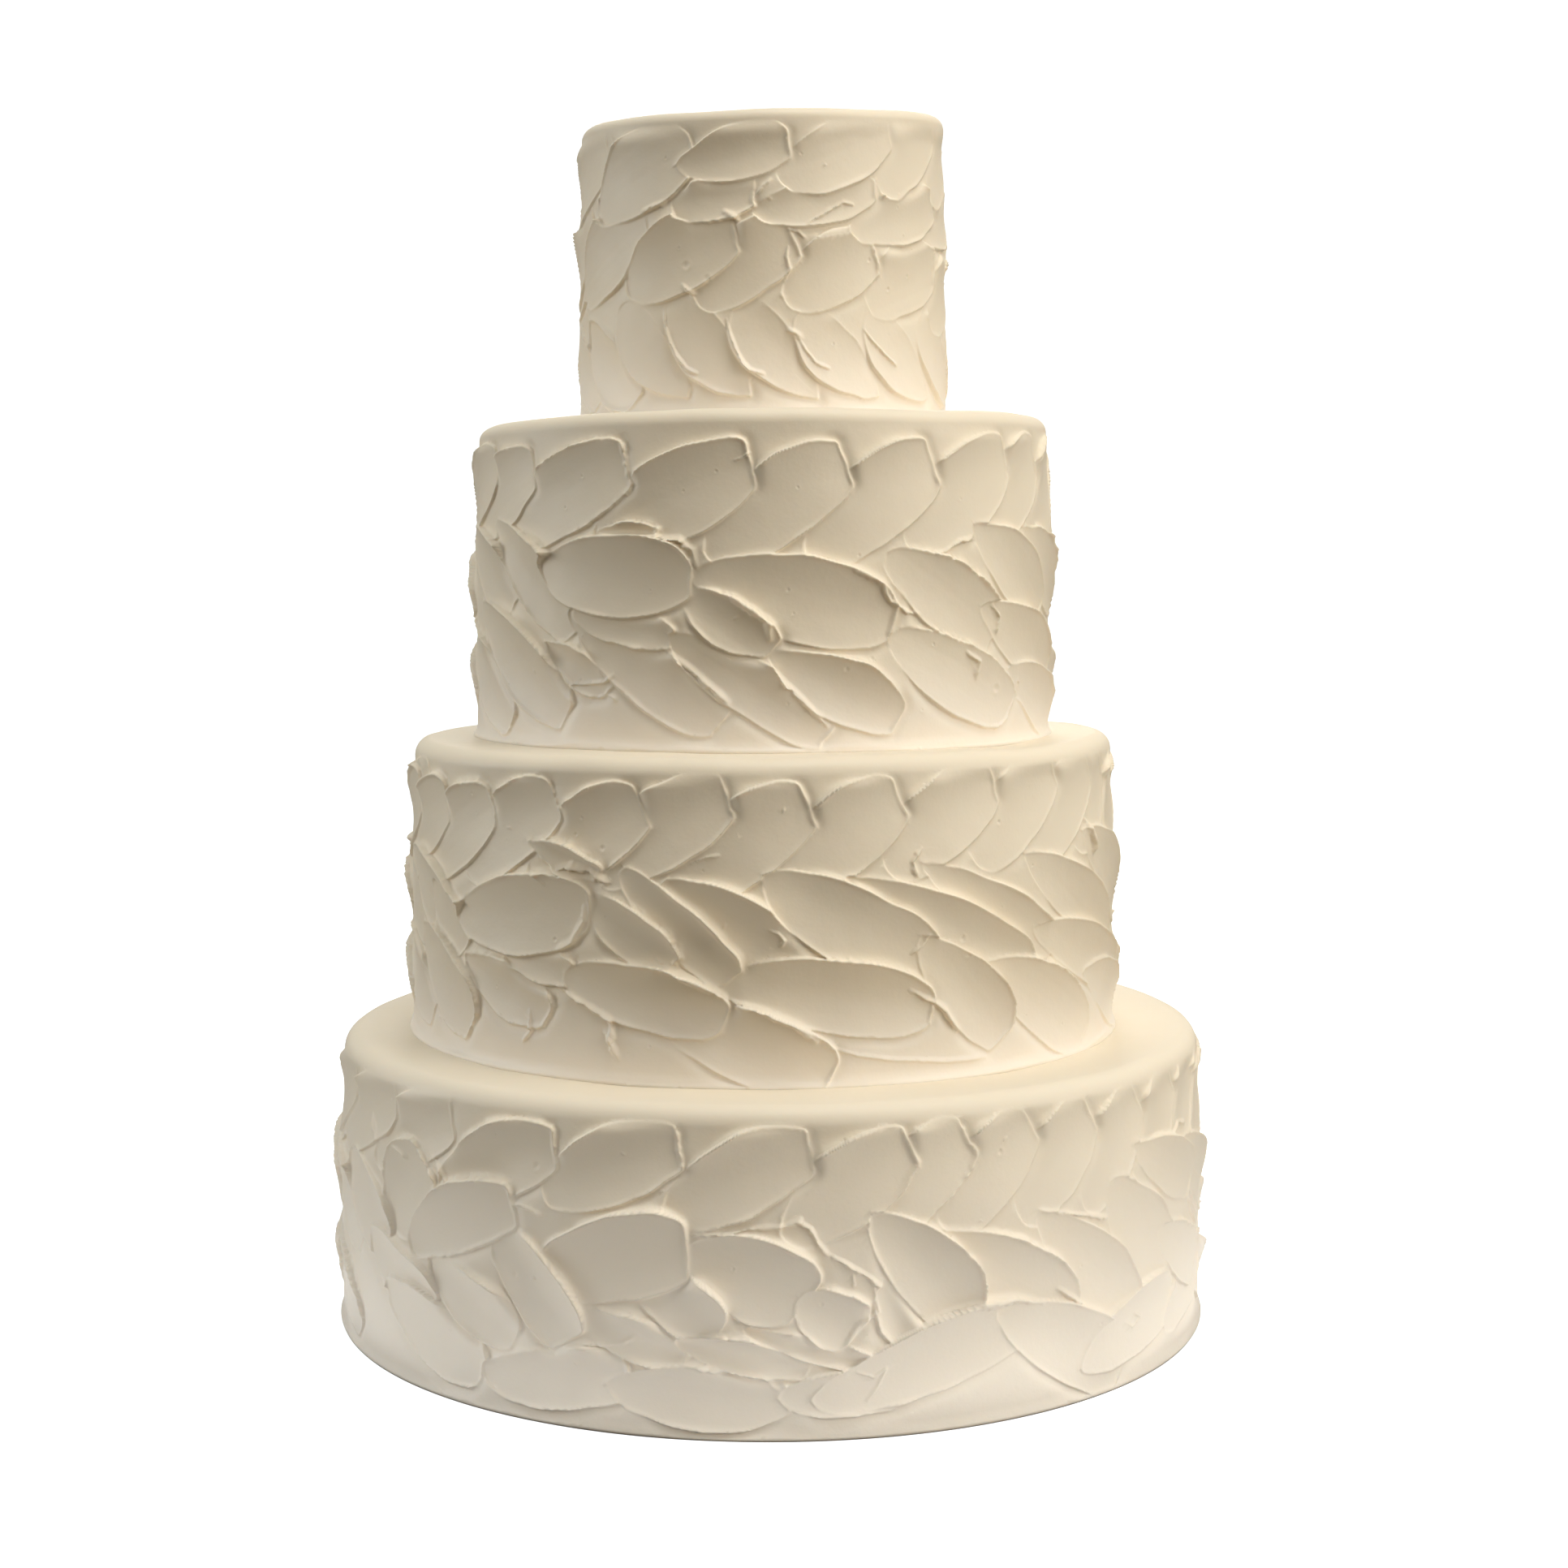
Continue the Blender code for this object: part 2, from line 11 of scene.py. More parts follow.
import bpy
import numpy as np
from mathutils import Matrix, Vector


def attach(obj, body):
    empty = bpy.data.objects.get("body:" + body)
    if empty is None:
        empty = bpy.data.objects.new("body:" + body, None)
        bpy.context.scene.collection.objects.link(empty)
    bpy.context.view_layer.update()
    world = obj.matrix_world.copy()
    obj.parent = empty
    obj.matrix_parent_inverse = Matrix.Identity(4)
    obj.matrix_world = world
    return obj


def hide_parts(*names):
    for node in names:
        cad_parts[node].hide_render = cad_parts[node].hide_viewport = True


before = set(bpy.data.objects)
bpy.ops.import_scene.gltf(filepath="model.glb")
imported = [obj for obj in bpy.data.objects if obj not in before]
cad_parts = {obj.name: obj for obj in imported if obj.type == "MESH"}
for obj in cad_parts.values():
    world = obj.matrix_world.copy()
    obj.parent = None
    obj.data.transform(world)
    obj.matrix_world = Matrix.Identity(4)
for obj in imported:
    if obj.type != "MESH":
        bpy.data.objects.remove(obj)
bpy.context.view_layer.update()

MM = 0.001
SEED = 41

# Sizes of the tiers, lowest first: wall radius, height, sideways shift of the axis, how far the rim rises to
# the right of the middle and falls to its left, and how far it rises on both sides.
TIER_RADIUS = {"tier_1": 199.0, "tier_2": 162.0, "tier_3": 131.5, "tier_4": 84.0}
TIER_HEIGHT = {"tier_1": 131.0, "tier_2": 132.0, "tier_3": 139.0, "tier_4": 127.0}
TIER_SHIFT = {"tier_1": 0.0, "tier_2": -3.6, "tier_3": -3.6, "tier_4": -3.6}
RIM_SLOPE = {"tier_1": 0.8, "tier_2": 1.0, "tier_3": 2.2, "tier_4": 2.4}
RIM_LIFT = {"tier_1": 0.0, "tier_2": 0.0, "tier_3": 0.5, "tier_4": 5.5}

# The icing's section. The visible tiers sink a little into the ledge below, so that no gap shows.
BASE_COAT_DEPTH = 1.3
RIM_RADIUS = {"tier_1": 8.0, "tier_2": 7.5, "tier_3": 6.0, "tier_4": 4.5}
SHOULDER_DRAW = {"tier_1": 2.6, "tier_2": 2.4, "tier_3": 2.2, "tier_4": 1.6}
SHOULDER_HEIGHT = 46.0
FOOT_FLARE = 1.6
FOOT_HEIGHT = 6.0
BOTTOM_EDGE = 1.0
SINK = 0.5
HIDDEN_LEDGE = 12.0

# Grid of a tier before it is thinned out: spacing on the wall in front and behind, and on the ledge.
FRONT_STEP = 0.52
BACK_STEP = 1.15
LEDGE_STEP = 3.0
QUICK_STEP = 1.5
FRONT_HALF_ANGLE = 84.0
TRIANGLES = {"tier_1": 196000, "tier_2": 196000, "tier_3": 190000, "tier_4": 150000}

# Relief of a stroke: how far its lips reach inwards and outwards, and how much more a left lip does so than
# one at the head (a right lip does the opposite); how far the lips lean out, and how soft the edge is. Past
# its right side and its head, a stroke presses the icing down to the press level.
LIP_INNER = 0.8
LIP_OUTER = 1.0
LIP_INNER_TURN = -0.15
LIP_OUTER_TURN = 0.45
LIP_LEAN = 0.3
LIP_FALL = 1.6
LIP_SWELL = 0.45
LIP_PATCHINESS = 0.45
TAIL_LIP_SHARE = 0.35
HEAD_FROM = 0.86
HEAD_FULL = 0.95
# Most strokes have a neat lip and some a torn one: the share of neat ones, and how torn either kind is.
NEAT_SHARE = 0.7
NEAT_TORN = (0.0, 0.1)
ROUGH_TORN = (0.2, 0.5)
EDGE_SOFTNESS = 0.55
OUTLINE_POINTS = 32
OUTLINE_WAVES = (3, 5, 8, 13)
OUTLINE_WOBBLE = 0.75
STROKE_REACH = 5.0
RIM_FADE_TOP = 5.0
RIM_FADE_HEIGHT = 13.0
FOOT_FADE_HEIGHT = 3.0
PRESS_LEVEL = -1.2
PRESS_REACH = 3.2
DRAG_DEPTH = 0.03
DRAG_SPACING = 2.4
DRAG_STRETCH = 0.04
GRAIN_GIRTH = 1000.0
END_LIFT = 0.15
RIGHT_SIDE_SHARE = 0.6

# Strokes go deeper just left of the front's middle, by a share for each tier, and are calmer on its right.
DEEPER_SHARE = {"tier_1": 0.5, "tier_2": 0.25, "tier_3": 0.2, "tier_4": 0.2}
DEEPER_AZIMUTH = -12.0
DEEPER_SPREAD = 34.0
CALMER_SHARE = 0.18
CALMER_FROM = 10.0
CALMER_FULL = 40.0

# The kinds of stroke. tail and head: how the left and right side narrow towards each end (0 blunt, 1
# pointed). cut: where along its length the knife stopped square, and cut_slant how slanted that end is.
# lips: raised edge on the left, on the right and at the head. low: where across the hollow is deepest.
STROKE_KINDS = {
    "petal": {"tail": (0.60, 0.42), "head": (0.40, 0.54), "cut": 0.93, "cut_slant": 0.12,
              "lips": (0.8, 0.5, 0.65), "level": -1.2, "hollow": 2.9, "low": -0.05},
    "leaf": {"tail": (0.72, 0.66), "head": (0.34, 0.50), "cut": 0.97, "cut_slant": 0.14,
             "lips": (1.0, 0.5, 0.65), "level": -1.2, "hollow": 3.0, "low": -0.15},
    "slab": {"tail": (0.55, 0.45), "head": (0.24, 0.36), "cut": 0.96, "cut_slant": 0.18,
             "lips": (1.0, 0.5, 0.65), "level": -1.2, "hollow": 2.9, "low": -0.15},
    "oval": {"tail": (0.62, 0.55), "head": (0.36, 0.48), "cut": 0.98, "cut_slant": 0.08,
             "lips": (0.9, 0.5, 0.75), "level": -1.1, "hollow": 2.9, "low": -0.05},
    "drag": {"tail": (0.50, 0.50), "head": (0.75, 0.75), "cut": 1.0, "cut_slant": 0.0,
             "lips": (0.2, 0.4, 0.2), "level": -0.5, "hollow": 1.7, "low": 0.10},
}

# Knife strokes seen from the front, in the order they were laid: kind, azimuth and height of the tail,
# azimuth and height of the head, width, and how far the stroke bends to its left.
FRONT_STROKES = {
    "tier_1": (
        ("petal", 69, 82, 80, 118, 32, 2),
        ("petal", 59, 84, 70, 121, 32, 2),
        ("petal", 50, 84, 61, 121, 32, 2),
        ("petal", 40, 81, 51.5, 118, 32, 2),
        ("petal", 30, 82, 42, 117, 33, 2),
        ("petal", 20, 82, 32.4, 117, 32, 2),
        ("petal", 11, 84, 23.6, 115, 32, 2),
        ("petal", 1.5, 82, 16.4, 113, 32, 2),
        ("petal", -12, 90, 4.8, 113, 31, 2),
        ("petal", -27, 94, -10.2, 114, 31, 2),
        ("petal", -43, 88, -25.4, 110, 31, 2),
        ("petal", -58, 93, -41, 116, 33, 2),
        ("petal", -72, 92, -53, 118, 34, 2),
        ("petal", -88, 90, -67, 118, 34, 2),
        ("leaf", 64, 92, 80, 56, 30, 2),
        ("leaf", 50, 99, 68, 70, 26, 2),
        ("oval", 45, 88, 58, 36, 38, 0),
        ("leaf", 33, 82, 49, 26, 32, 2),
        ("leaf", 18, 80, 38, 37, 32, 1),
        ("oval", -53, 64, -46, 97, 40, 0),
        ("oval", -68, 86, -54, 54, 34, 0),
        ("leaf", -60, 58, -44, 34, 28, 0),
        ("leaf", -55, 40, -36, 14, 30, 0),
        ("leaf", -45, 56, -31, 32, 25, 0),
        ("oval", -36, 15, -16, 22, 26, 0),
        ("leaf", -24, 48, -9.3, 32, 18, 0),
        ("oval", -19, 19, 2.4, 15, 26, 0),
        ("slab", -9, 76, 4.2, 56, 34, 0),
        ("leaf", -17, 68, -5.8, 42, 24, 2),
        ("slab", -28, 60, -9.3, 75, 35, 2),
        ("slab", -34, 78, -23.5, 35, 27, 1),
        ("petal", -49, 62, -31, 84, 29, 3),
        ("leaf", -10.5, 39, 4.5, 29, 15, 0),
        ("leaf", -3, 45, 12.5, 28, 10, 0),
        ("oval", 1, 17, 17, 20, 20, 0),
        ("slab", 3.5, 57, 10.2, 43, 24, -1),
        ("leaf", 13, 62, 16, 36, 16, 0),
        ("leaf", 11.8, 89, 23, 42, 31, 3),
        ("oval", 5, 15, 33, 39, 29, 3),
        ("leaf", 27, 46, 47, 4, 32, 3),
        ("oval", 40, 14, 61, 30, 30, 3),
        ("oval", 58, 16, 76, 36, 28, 3),
        ("leaf", 56, 60, 72, 30, 26, 0),
    ),
    "tier_2": (
        ("petal", 70, 90, 83, 118, 34, 2),
        ("petal", 56, 90, 69, 120, 34, 2),
        ("petal", 43, 90, 62.5, 119, 34, 2),
        ("petal", 32, 90, 51, 122, 34, 2),
        ("petal", 18, 89, 37, 119, 34, 2),
        ("petal", 3, 84, 20.8, 114.5, 33, 2),
        ("petal", -13, 79, 7, 112.5, 34, 2),
        ("petal", -25, 86, -4.7, 116, 34, 2),
        ("petal", -36, 82, -17.2, 111.5, 34, 2),
        ("petal", -51, 82, -31.7, 112.5, 34, 2),
        ("petal", -64, 80, -44.5, 108, 34, 2),
        ("petal", -77, 82, -57, 107, 34, 2),
        ("petal", -90, 84, -70, 108, 34, 2),
        ("leaf", 59, 95, 84, 52, 30, 3),
        ("leaf", 43, 89, 71, 40, 28, 3),
        ("leaf", 24, 89, 50, 47, 22, 0),
        ("leaf", 12, 84, 44, 42, 22, 2),
        ("slab", -14, 82, 7.5, 44, 27, 2),
        ("leaf", -76, 84, -54, 54, 30, 2),
        ("leaf", -62, 72, -51, 48, 26, 0),
        ("leaf", -68, 52, -50, 14, 34, 2),
        ("leaf", -51, 44, -33, 25, 24, 0),
        ("oval", -43, 52, -28, 42, 16, 0),
        ("oval", 0.5, 85.5, 26, 46, 33, -1),
        ("leaf", 45, 58, 78, 22, 28, 2),
        ("leaf", 35, 46, 59, 4, 32, 3),
        ("leaf", 23.5, 59, 38, 13, 29, 2),
        ("oval", -6, 43, 25.5, 28, 31, 2),
        ("slab", -20, 87, -4.5, 44, 20, 0),
        ("slab", -26, 76, -13, 48, 20, 0),
        ("leaf", -17, 33, 10, 4, 31, 1),
        ("oval", -30, 43, -5, 27, 27, 1),
        ("leaf", -36.5, 96, -24, 84, 12, 0),
        ("oval", -53, 61, -25.5, 69, 34, 0),
        ("leaf", 60, 34, 84, 6, 28, 2),
    ),
    "tier_3": (
        ("petal", 62, 88, 84, 120, 34, 2),
        ("petal", 44, 90, 67, 120, 34, 2),
        ("petal", 27, 87, 53.5, 119, 35, 2),
        ("petal", 8, 80, 33.5, 116, 35, 3),
        ("petal", -10, 82, 15.6, 115.5, 34, 2),
        ("petal", -32, 86, -1.6, 115, 36, 2),
        ("petal", -57, 89, -25, 115.5, 36, 2),
        ("petal", -72, 93, -48, 116, 34, 2),
        ("petal", -88, 93, -63, 119, 34, 2),
        ("leaf", 60, 92, 82, 58, 30, 2),
        ("leaf", 43, 93, 68, 54, 30, 2),
        ("leaf", 23, 81, 49, 45, 32, 1),
        ("oval", -12, 72, 24.5, 52, 36, 1),
        ("leaf", -80, 92, -55, 58, 30, 2),
        ("leaf", -62, 96, -37, 47, 27, 2),
        ("leaf", -85, 54, -56, 8, 28, 0),
        ("leaf", -72, 60, -39, 12, 30, 3),
        ("leaf", -44, 44, -29, 24, 16, 0),
        ("leaf", -38, 58, -7, 12, 32, 2),
        ("oval", -37, 56, -16, 46, 16, 0),
        ("leaf", -17, 48, 12, 6, 25, 1),
        ("leaf", 1.5, 40, 25.5, 12, 26, 1),
        ("leaf", 45, 59, 74, 24, 30, 3),
        ("leaf", 54, 32, 80, 4, 28, 2),
        ("oval", 24, 48, 55, 15, 31, -2),
        ("leaf", -15.5, 69, 2.3, 43, 20, -2),
        ("oval", -31, 90, -19, 89, 8, 0),
        ("oval", -46, 75, -12.5, 69, 34, 0),
    ),
    "tier_4": (
        ("leaf", -84, 46, -60, 8, 26, -2),
        ("leaf", -66, 44, -42, 6, 26, -2),
        ("drag", -47, 48, -22, 8, 25, -3),
        ("drag", -26.5, 49, -3, 8, 25, -3),
        ("drag", -7, 47, 17, 8, 25, -3),
        ("drag", 11.5, 43, 37, 8.5, 25, -3),
        ("drag", 33, 43, 60, 9, 25, -3),
        ("drag", 56, 44, 84, 9, 26, -2),
        ("petal", 62, 44, 92, 70, 32, 2),
        ("petal", 33, 50, 66, 66, 33, 3),
        ("petal", 6.5, 50, 36, 68, 31, 2),
        ("petal", -20, 49, 9.3, 73, 31, 2),
        ("petal", -94, 56, -64, 86, 32, 2),
        ("petal", -72, 56, -37, 82, 34, 2),
        ("petal", -46, 57, -7.5, 75, 33, 1),
        ("oval", 58, 80, 90, 94, 22, 0),
        ("oval", 27, 77, 66, 90, 23, 2),
        ("oval", -2.5, 84, 36, 94, 20, 0),
        ("slab", -28, 88, -2, 93, 20, 0),
        ("petal", 62, 97, 92, 122, 32, 3),
        ("petal", 36, 98, 67, 120, 30, 3),
        ("petal", 5, 99, 42, 116, 28, 1),
        ("petal", -94, 92, -55, 112, 32, 3),
        ("oval", -60, 88.5, -21, 110.5, 35, 3),
        ("leaf", -26.5, 104, 8.5, 111.5, 23.5, 1),
    ),
}

# Strokes round the back, row by row: kind, height of tail and head, run along the wall, spacing, width, bend.
BACK_AZIMUTHS = (74.0, 286.0)
BACK_ROWS = (
    ("petal", 88, 118, 50, 42, 34, 2),
    ("leaf", 46, 12, 62, 46, 30, 2),
    ("leaf", 86, 46, 66, 48, 33, 2),
)
TOP_TIER_BACK_ROWS = (
    ("drag", 47, 8, 36, 30, 27, -3),
    ("petal", 49, 77, 46, 40, 31, 2),
    ("oval", 83, 91, 50, 46, 20, 0),
    ("petal", 94, 119, 50, 46, 32, 3),
)
BACK_JITTER_HEIGHT = 3.0
BACK_JITTER_RUN = 5.0
BACK_JITTER_WIDTH = 2.5

# Torn lips, curls and crumbs that lie on the strokes: height, width, raggedness, then azimuth and height
# of points.
RIDGES = {
    "tier_1": (
        (1.5, 1.4, 0.8, ((3.4, 87.5), (4.8, 84), (5.4, 79), (6.6, 73.5))),
        (1.3, 1.4, 0.9, ((6.8, 74), (9.0, 70), (10.5, 66), (12.8, 61))),
        (1.2, 1.2, 0.9, ((12.0, 60), (12.2, 55), (12.6, 50), (10.2, 45), (8.6, 37))),
        (1.1, 1.2, 1.0, ((-9.0, 30), (-6.5, 28.5), (-4.0, 28.5), (-0.8, 25.5), (1.0, 21))),
        (0.8, 0.7, 0.9, ((9.5, 66), (9.6, 61))),
        (0.5, 0.6, 0.3, ((48, 27), (50, 23), (52, 26), (50, 29))),
        (0.9, 1.2, 0.9, ((-44.5, 99), (-42.5, 95), (-41.5, 90))),
        (1.2, 1.5, 0.9, ((-60, 107), (-58.5, 101), (-57.5, 95))),
        (1.1, 1.3, 0.7, ((-52, 99), (-49.5, 96))),
        (1.4, 1.6, 0.9, ((36, 50), (38, 46), (39.5, 42))),
        (1.2, 1.3, 0.8, ((-8.4, 82), (-5.0, 82), (-2.2, 84.5), (1.5, 85), (3.6, 88))),
        (0.9, 1.1, 0.8, ((-23, 33.5), (-20, 34.5), (-17, 36), (-15.4, 39.5))),
        (0.8, 1.0, 0.7, ((-31, 87), (-29, 86.5), (-27, 84.5))),
        (0.7, 0.9, 0.9, ((-22.5, 51), (-19, 49), (-16, 46.5))),
        (1.0, 1.6, 0.8, ((25, 48), (29, 49), (33, 45.5))),
        (0.9, 1.3, 0.5, ((17.6, 43), (20.5, 47), (24.6, 50.5))),
        (0.9, 0.9, 0.5, ((10.0, 27), (12.0, 24), (13.4, 27), (12.4, 20), (11.2, 15))),
        (1.2, 1.2, 0.8, ((33, 83), (38, 79), (44, 74))),
        (1.0, 1.0, 0.8, ((60, 96), (63, 101), (66, 99))),
    ),
    "tier_2": (
        (2.0, 2.0, 1.0, ((-31, 86), (-28, 88), (-25, 85), (-22.5, 82))),
        (1.4, 2.0, 0.4, ((-26.3, 71), (-26.6, 65), (-28.5, 56), (-31, 52))),
        (1.7, 1.6, 0.9, ((-15, 51), (-12, 47), (-9, 43), (-5, 37))),
        (1.5, 1.4, 0.7, ((-31, 38), (-26.5, 32), (-22, 26), (-21.5, 19))),
        (1.2, 1.8, 1.0, ((-22.5, 22), (-21.5, 15), (-21, 10))),
        (1.6, 1.5, 0.9, ((-4, 36), (1, 31), (5, 26), (8, 20))),
        (0.9, 1.3, 0.3, ((9, 18), (14, 13), (20, 10), (28, 7.5), (35, 7))),
        (1.6, 1.5, 0.8, ((22, 38), (25.5, 33), (28, 29), (30, 20))),
        (1.1, 0.9, 0.6, ((1.2, 64), (2.6, 63), (3.5, 60), (3.0, 57.5))),
        (1.0, 0.8, 0.6, ((-10, 90), (-8, 92.5), (-6, 93.5))),
        (1.2, 1.1, 0.5, ((-36.5, 26), (-36, 18), (-37.5, 13))),
        (1.3, 1.3, 0.8, ((24, 95), (22.5, 90), (23, 84))),
        (1.0, 0.9, 0.9, ((25, 60), (24, 56), (22.5, 53))),
        (1.8, 2.0, 1.0, ((60, 100), (63, 92), (64, 86))),
        (1.0, 1.0, 0.8, ((-33, 79), (-35, 82), (-33, 84))),
    ),
    "tier_3": (
        (1.9, 1.9, 1.0, ((-20, 87.5), (-17, 87), (-14.5, 87), (-12.5, 82), (-11.7, 75))),
        (1.3, 1.1, 1.0, ((17, 74), (22, 69), (24, 62), (28, 57), (30, 56))),
        (1.6, 1.4, 1.0, ((3, 33), (6.5, 24), (9.5, 17), (12, 11))),
        (1.6, 1.7, 0.5, ((-17, 41), (-12, 33), (-7.5, 25), (-6, 21))),
        (1.8, 1.8, 0.6, ((-5, 62), (-1, 56), (1.2, 54), (1.8, 47))),
        (1.0, 0.7, 0.4, ((-5, 118), (-3.2, 119.5), (-2, 121.5))),
        (0.9, 1.0, 0.5, ((-41, 33), (-37, 27), (-30, 28), (-28, 31))),
        (0.9, 1.3, 0.9, ((-29, 23), (-27.4, 21.4))),
        (1.3, 1.2, 0.7, ((33.5, 81), (36, 82), (39, 86), (43, 87))),
        (1.5, 1.6, 0.7, ((48, 60), (50.5, 55), (50, 49))),
        (1.5, 1.6, 0.6, ((41, 40), (44.5, 36), (44, 30))),
    ),
    "tier_4": (
        (1.3, 1.3, 1.0, ((-38, 87), (-34, 88.5), (-30, 89))),
        (1.3, 1.2, 1.0, ((-24, 55), (-22, 53), (-20, 51))),
        (1.1, 0.9, 0.5, ((-30, 46), (-29.3, 38), (-27.5, 31), (-25, 25.5), (-22, 20), (-19, 18.2))),
        (1.1, 0.9, 0.5, ((-10, 40), (-9, 34), (-7, 27), (-5, 22), (-3, 19), (0.6, 17.5))),
        (1.3, 1.6, 0.9, ((8, 36), (10, 34.5), (11.4, 32.5))),
        (1.1, 0.9, 0.6, ((11, 32), (13, 27), (16, 22), (20, 20))),
        (1.1, 0.9, 0.7, ((32, 37), (35, 32), (39, 27.5), (44, 23))),
        (1.0, 1.0, 0.9, ((14, 80), (20, 85.5), (25, 89), (28, 88.5))),
        (1.0, 0.9, 1.0, ((8.0, 70), (7.6, 66), (8.4, 61), (6.6, 56))),
        (1.5, 1.4, 1.0, ((-11, 85), (-8.4, 83.5), (-6.6, 80.5))),
        (1.0, 1.0, 0.8, ((8, 77), (11, 76.5), (12.5, 74))),
        (0.9, 0.9, 0.7, ((-1.5, 91), (0.2, 95), (2.6, 97.2))),
    ),
}

# Pits where a bubble of air burst: azimuth, height and size across.
PITS = {
    "tier_1": (
        (28, 108, 2.4), (-31, 58, 2.6), (-47.5, 98, 1.4), (-33.5, 114, 1.2), (-4, 68, 1.5),
        (6, 54, 1.6), (-28, 103, 3.0), (40, 56, 1.4),
    ),
    "tier_2": (
        (-49.5, 113.5, 1.3), (-31.5, 56.5, 1.8), (-16, 16, 1.3), (-23, 67, 1.2), (-28, 100, 1.6),
        (31, 57, 2.6), (31.5, 50.5, 2.2), (53, 14, 1.2), (45, 84, 1.3), (-27, 107, 1.5),
        (-23.5, 95, 2.4), (38, 103, 1.8),
    ),
    "tier_3": (
        (-8, 114, 1.4), (5, 66, 1.6), (6, 56.5, 1.2), (-35, 113, 1.3), (-39, 100, 1.4),
        (33.5, 43.5, 1.3), (50, 24, 3.4), (15.5, 34, 2.0), (20.5, 38, 1.8), (18, 80, 1.3),
        (-14, 106, 1.2), (40, 103, 1.2),
    ),
    "tier_4": (
        (-23, 63, 3.2), (-16, 57, 3.0), (41.5, 54.5, 1.8), (50, 61, 1.6), (34, 66, 1.8),
        (12, 108, 1.2), (-30, 108, 1.2),
    ),
}
PIT_DEPTH = 0.32
PIT_RIM = 0.12

# Small crumbs and pits strewn at random over each wall.
STREWN_PER_TIER = 34
STREWN_SIZES = (0.5, 1.3)
STREWN_HEIGHTS = (10, 115)

# Slow unevenness of the icing, as pairs of blotch size and depth, on the walls and on the ledges.
WALL_UNEVENNESS = ((60.0, 0.35), (22.0, 0.18), (7.0, 0.05))
LEDGE_UNEVENNESS = ((70.0, 0.45), (25.0, 0.16))

# Torn lips: how far they wander sideways and how wide they spread against their width, how lumpy they are,
# how far they hang down, and how much they fray on the left and on the right.
RIDGE_WANDER = 0.25
RIDGE_SPREAD = 0.65
RIDGE_LUMPS = 0.4
RIDGE_LEAN = 0.4
RIDGE_FRAY_LEFT = 0.1
RIDGE_FRAY_RIGHT = 0.4

# Smooth noise is drawn from a lattice of this many places round and up, which then repeats.
NOISE_LATTICE = (1024, 64)
NOISE_SCALE = 1.4

# Blotches of raggedness, coarse and fine, and of patchiness along the lips.
RAGGED_SIZE = 2.6
RAGGED_FINE_SIZE = 1.4
PATCH_SIZE = 9.0

# How far below the top the ledge's waves reach, and from what share of the height the rim's rise starts.
LEDGE_WAVE_BAND = 12.0
RIM_RISE_FROM = 0.6

# Bead of icing squeezed out where a tier stands on the ledge below.
BEAD_HEIGHT = 0.4
BEAD_LEVEL = 1.4
BEAD_WANDER = 1.5
BEAD_WIDTH = 0.9


def smooth_step(value, low, high):
    """0 below low, 1 above high and a smooth rise between."""
    share = np.clip((value - low) / (high - low), 0.0, 1.0)
    return share * share * (3.0 - 2.0 * share)


def soft_noise(across, up, size, girth, seed):
    """Smooth noise of about -1 to 1 in blotches of the given size, which closes up round a girth."""
    lattice = np.random.default_rng(seed).uniform(-1.0, 1.0, NOISE_LATTICE)
    count = min(NOISE_LATTICE[0], max(3, round(girth / size)))
    u = across / girth * count
    v = up / size
    left = np.floor(u).astype(int)
    low = np.floor(v).astype(int)
    share_u = smooth_step(u - left, 0.0, 1.0)
    share_v = smooth_step(v - low, 0.0, 1.0)
    total = 0.0
    for step_u in (0, 1):
        for step_v in (0, 1):
            weight = (share_u if step_u else 1.0 - share_u) * (share_v if step_v else 1.0 - share_v)
            total = total + weight * lattice[(left + step_u) % count, (low + step_v) % NOISE_LATTICE[1]]
    return total * NOISE_SCALE


def side_shape(share, tail, head):
    """Half-width along a stroke, at most 1: share runs from 0 at the tail to 1 at the head."""
    widest = tail / (tail + head)
    peak = widest**tail * (1.0 - widest) ** head
    return share**tail * (1.0 - share) ** head / peak


